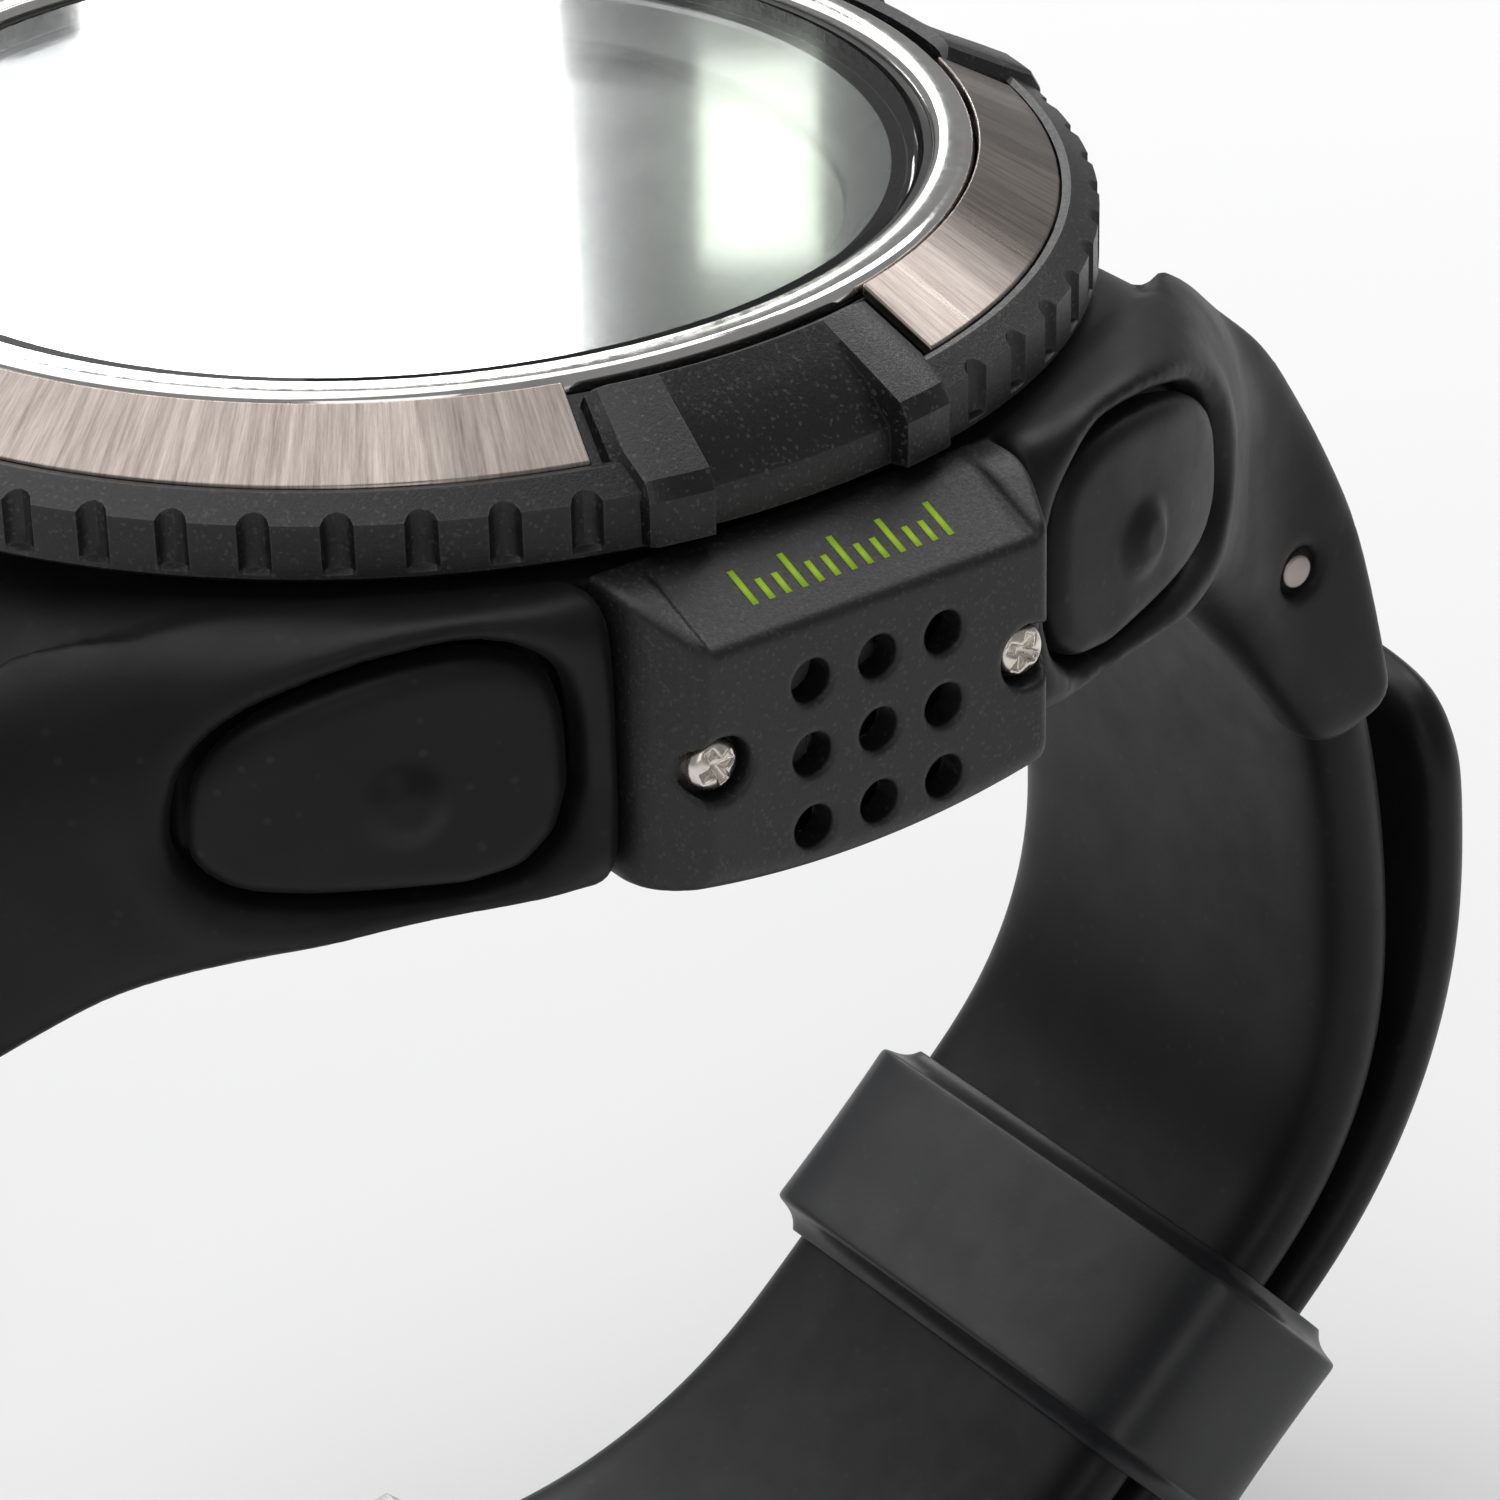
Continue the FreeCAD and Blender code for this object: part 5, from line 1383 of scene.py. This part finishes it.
# CAD node: name, body, slot, finish, width of the broken edges
softened = {
    "case_back": ("caseBack", "case", "case_steel", backSteel, 0.12),
    "case_back_screws": ("caseBackScrews", "case", "screw_steel", screwSteel, 0.06),
    "buckle_frame": ("buckleFrame", "buckle", "case_steel", backSteel, 0.25),
    "buckle_tongue": ("buckleTongue", "tongue", "polished_steel", polishedSteel, 0.18),
    "buckle_pin": ("bucklePin", "case", "spring_steel", springSteel, 0.15),
    "strap_pin_12": ("strapPin_12", "case", "spring_steel", springSteel, 0.12),
    "strap_pin_6": ("strapPin_6", "case", "spring_steel", springSteel, 0.12),
}


cleanUp = {"merge": 0.001, "flatAngle": 0.5}


def makeSoftened():
    # hard parts whose shape is right, with their edges broken
    for node, (name, body, slotName, finish, width) in softened.items():
        mesh = cadNodes[node].data.copy()
        mesh.name = name
        shell = bmesh.new()
        shell.from_mesh(mesh)
        bmesh.ops.remove_doubles(shell, verts=shell.verts, dist=cleanUp["merge"] * mm)
        bmesh.ops.dissolve_limit(shell, angle_limit=math.radians(cleanUp["flatAngle"]), verts=shell.verts,
                                 edges=shell.edges)
        shell.to_mesh(mesh)
        shell.free()
        mesh.shade_smooth()
        breakEdges(addPiece(name, mesh, finish, body, [node]), width)


makeSoftened()
print("hard parts softened")


def makeButtonSprings():
    # each button's coil, copied onto its own mesh
    for number in range(1, 5):
        node = f"button_spring_{number}"
        name = f"buttonSpring_{number}"
        mesh = cadNodes[node].data.copy()
        mesh.name = name
        piece = addPiece(name, mesh, springSteel, "case", [node])
        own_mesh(piece)


makeButtonSprings()
print("button springs made")


studio = {
    "worldLight": 0.26, "worldColour": (1.0, 1.0, 1.0), "glass": (0.0017, -0.0021, 0.0152),
    "glassAway": (-0.7865, 0.4782, 0.3908), "glassReach": 0.48,
    "cameraPlace": (0.148867, -0.091601, 0.088320),
    "cameraTurn": (61.083, 1.2628, 53.793), "cameraLens": 135.804, "sensorWidth": 36, "clipStart": 0.01,
    "floorHalf": 3.0,
}
# name: power, place, size
lamps = {
    "key": (6.9, (-0.36, -0.10, 0.72), (1.15, 1.15)),
    "back": (0.8, (-0.20, 0.42, 0.42), (0.30, 0.20)),
    "side": (0.5, (0.55, -0.35, 0.35), (0.3, 0.5)),
}
# soft boxes that the glass mirrors. name: power, sideways, upwards, size, colour
mirrored = {
    "windowMiddle": (0.13, -2.5, 0.0, (0.055, 0.066), (1.0, 1.0, 1.0)),
    "windowLeft": (0.07, -46.0, 10.0, (0.036, 0.046), (0.97, 1.0, 1.0)),
    "windowRight": (0.005, 48.0, 0.0, (0.014, 0.024), (0.90, 1.0, 0.86)),
}


def hangLamp(name, power, place, target, area, colour):
    lamp = bpy.data.lights.new(name, "AREA")
    lamp.shape = "RECTANGLE"
    lamp.size, lamp.size_y = area
    lamp.energy = power
    lamp.color = colour
    holder = bpy.data.objects.new(name, lamp)
    holder.location = place
    holder.rotation_euler = (place - target).to_track_quat("Z", "Y").to_euler()
    bpy.context.scene.collection.objects.link(holder)


def makeStudio(settings):
    floorMesh = bpy.data.meshes.new("floor")
    reach, drop = settings["floorHalf"], cadBox[0][2]
    floorMesh.from_pydata([(-reach, -reach, drop), (reach, -reach, drop), (reach, reach, drop),
                           (-reach, reach, drop)], [], [(0, 1, 2, 3)])
    floor = bpy.data.objects.new("floor", floorMesh)
    bpy.context.scene.collection.objects.link(floor)
    floorMesh.materials.append(floorPaper)

    world = bpy.data.worlds.new("studioWorld")
    bpy.context.scene.world = world
    world.use_nodes = True
    world.node_tree.nodes["Background"].inputs["Color"].default_value = (*settings["worldColour"], 1)
    world.node_tree.nodes["Background"].inputs["Strength"].default_value = settings["worldLight"]

    for name, (power, place, area) in lamps.items():
        hangLamp(name, power, Vector(place), Vector((0, 0, 0)), area, (1, 1, 1))
    glass, away = Vector(settings["glass"]), Vector(settings["glassAway"])
    sideways = away.cross(Vector((0, 0, 1))).normalized()
    upwards = sideways.cross(away)
    for name, (power, across, up, area, colour) in mirrored.items():
        place = glass + away * settings["glassReach"] + (sideways * across + upwards * up) * mm
        hangLamp(name, power, place, glass, area, colour)

    cameraData = bpy.data.cameras.new("camera")
    cameraData.lens = settings["cameraLens"]
    cameraData.sensor_width = settings["sensorWidth"]
    cameraData.clip_start = settings["clipStart"]
    camera = bpy.data.objects.new("camera", cameraData)
    camera.location = settings["cameraPlace"]
    camera.rotation_euler = [math.radians(angle) for angle in settings["cameraTurn"]]
    bpy.context.scene.collection.objects.link(camera)
    bpy.context.scene.camera = camera
    bpy.context.scene.view_settings.view_transform = "Standard"


makeStudio(studio)
print("studio ready")
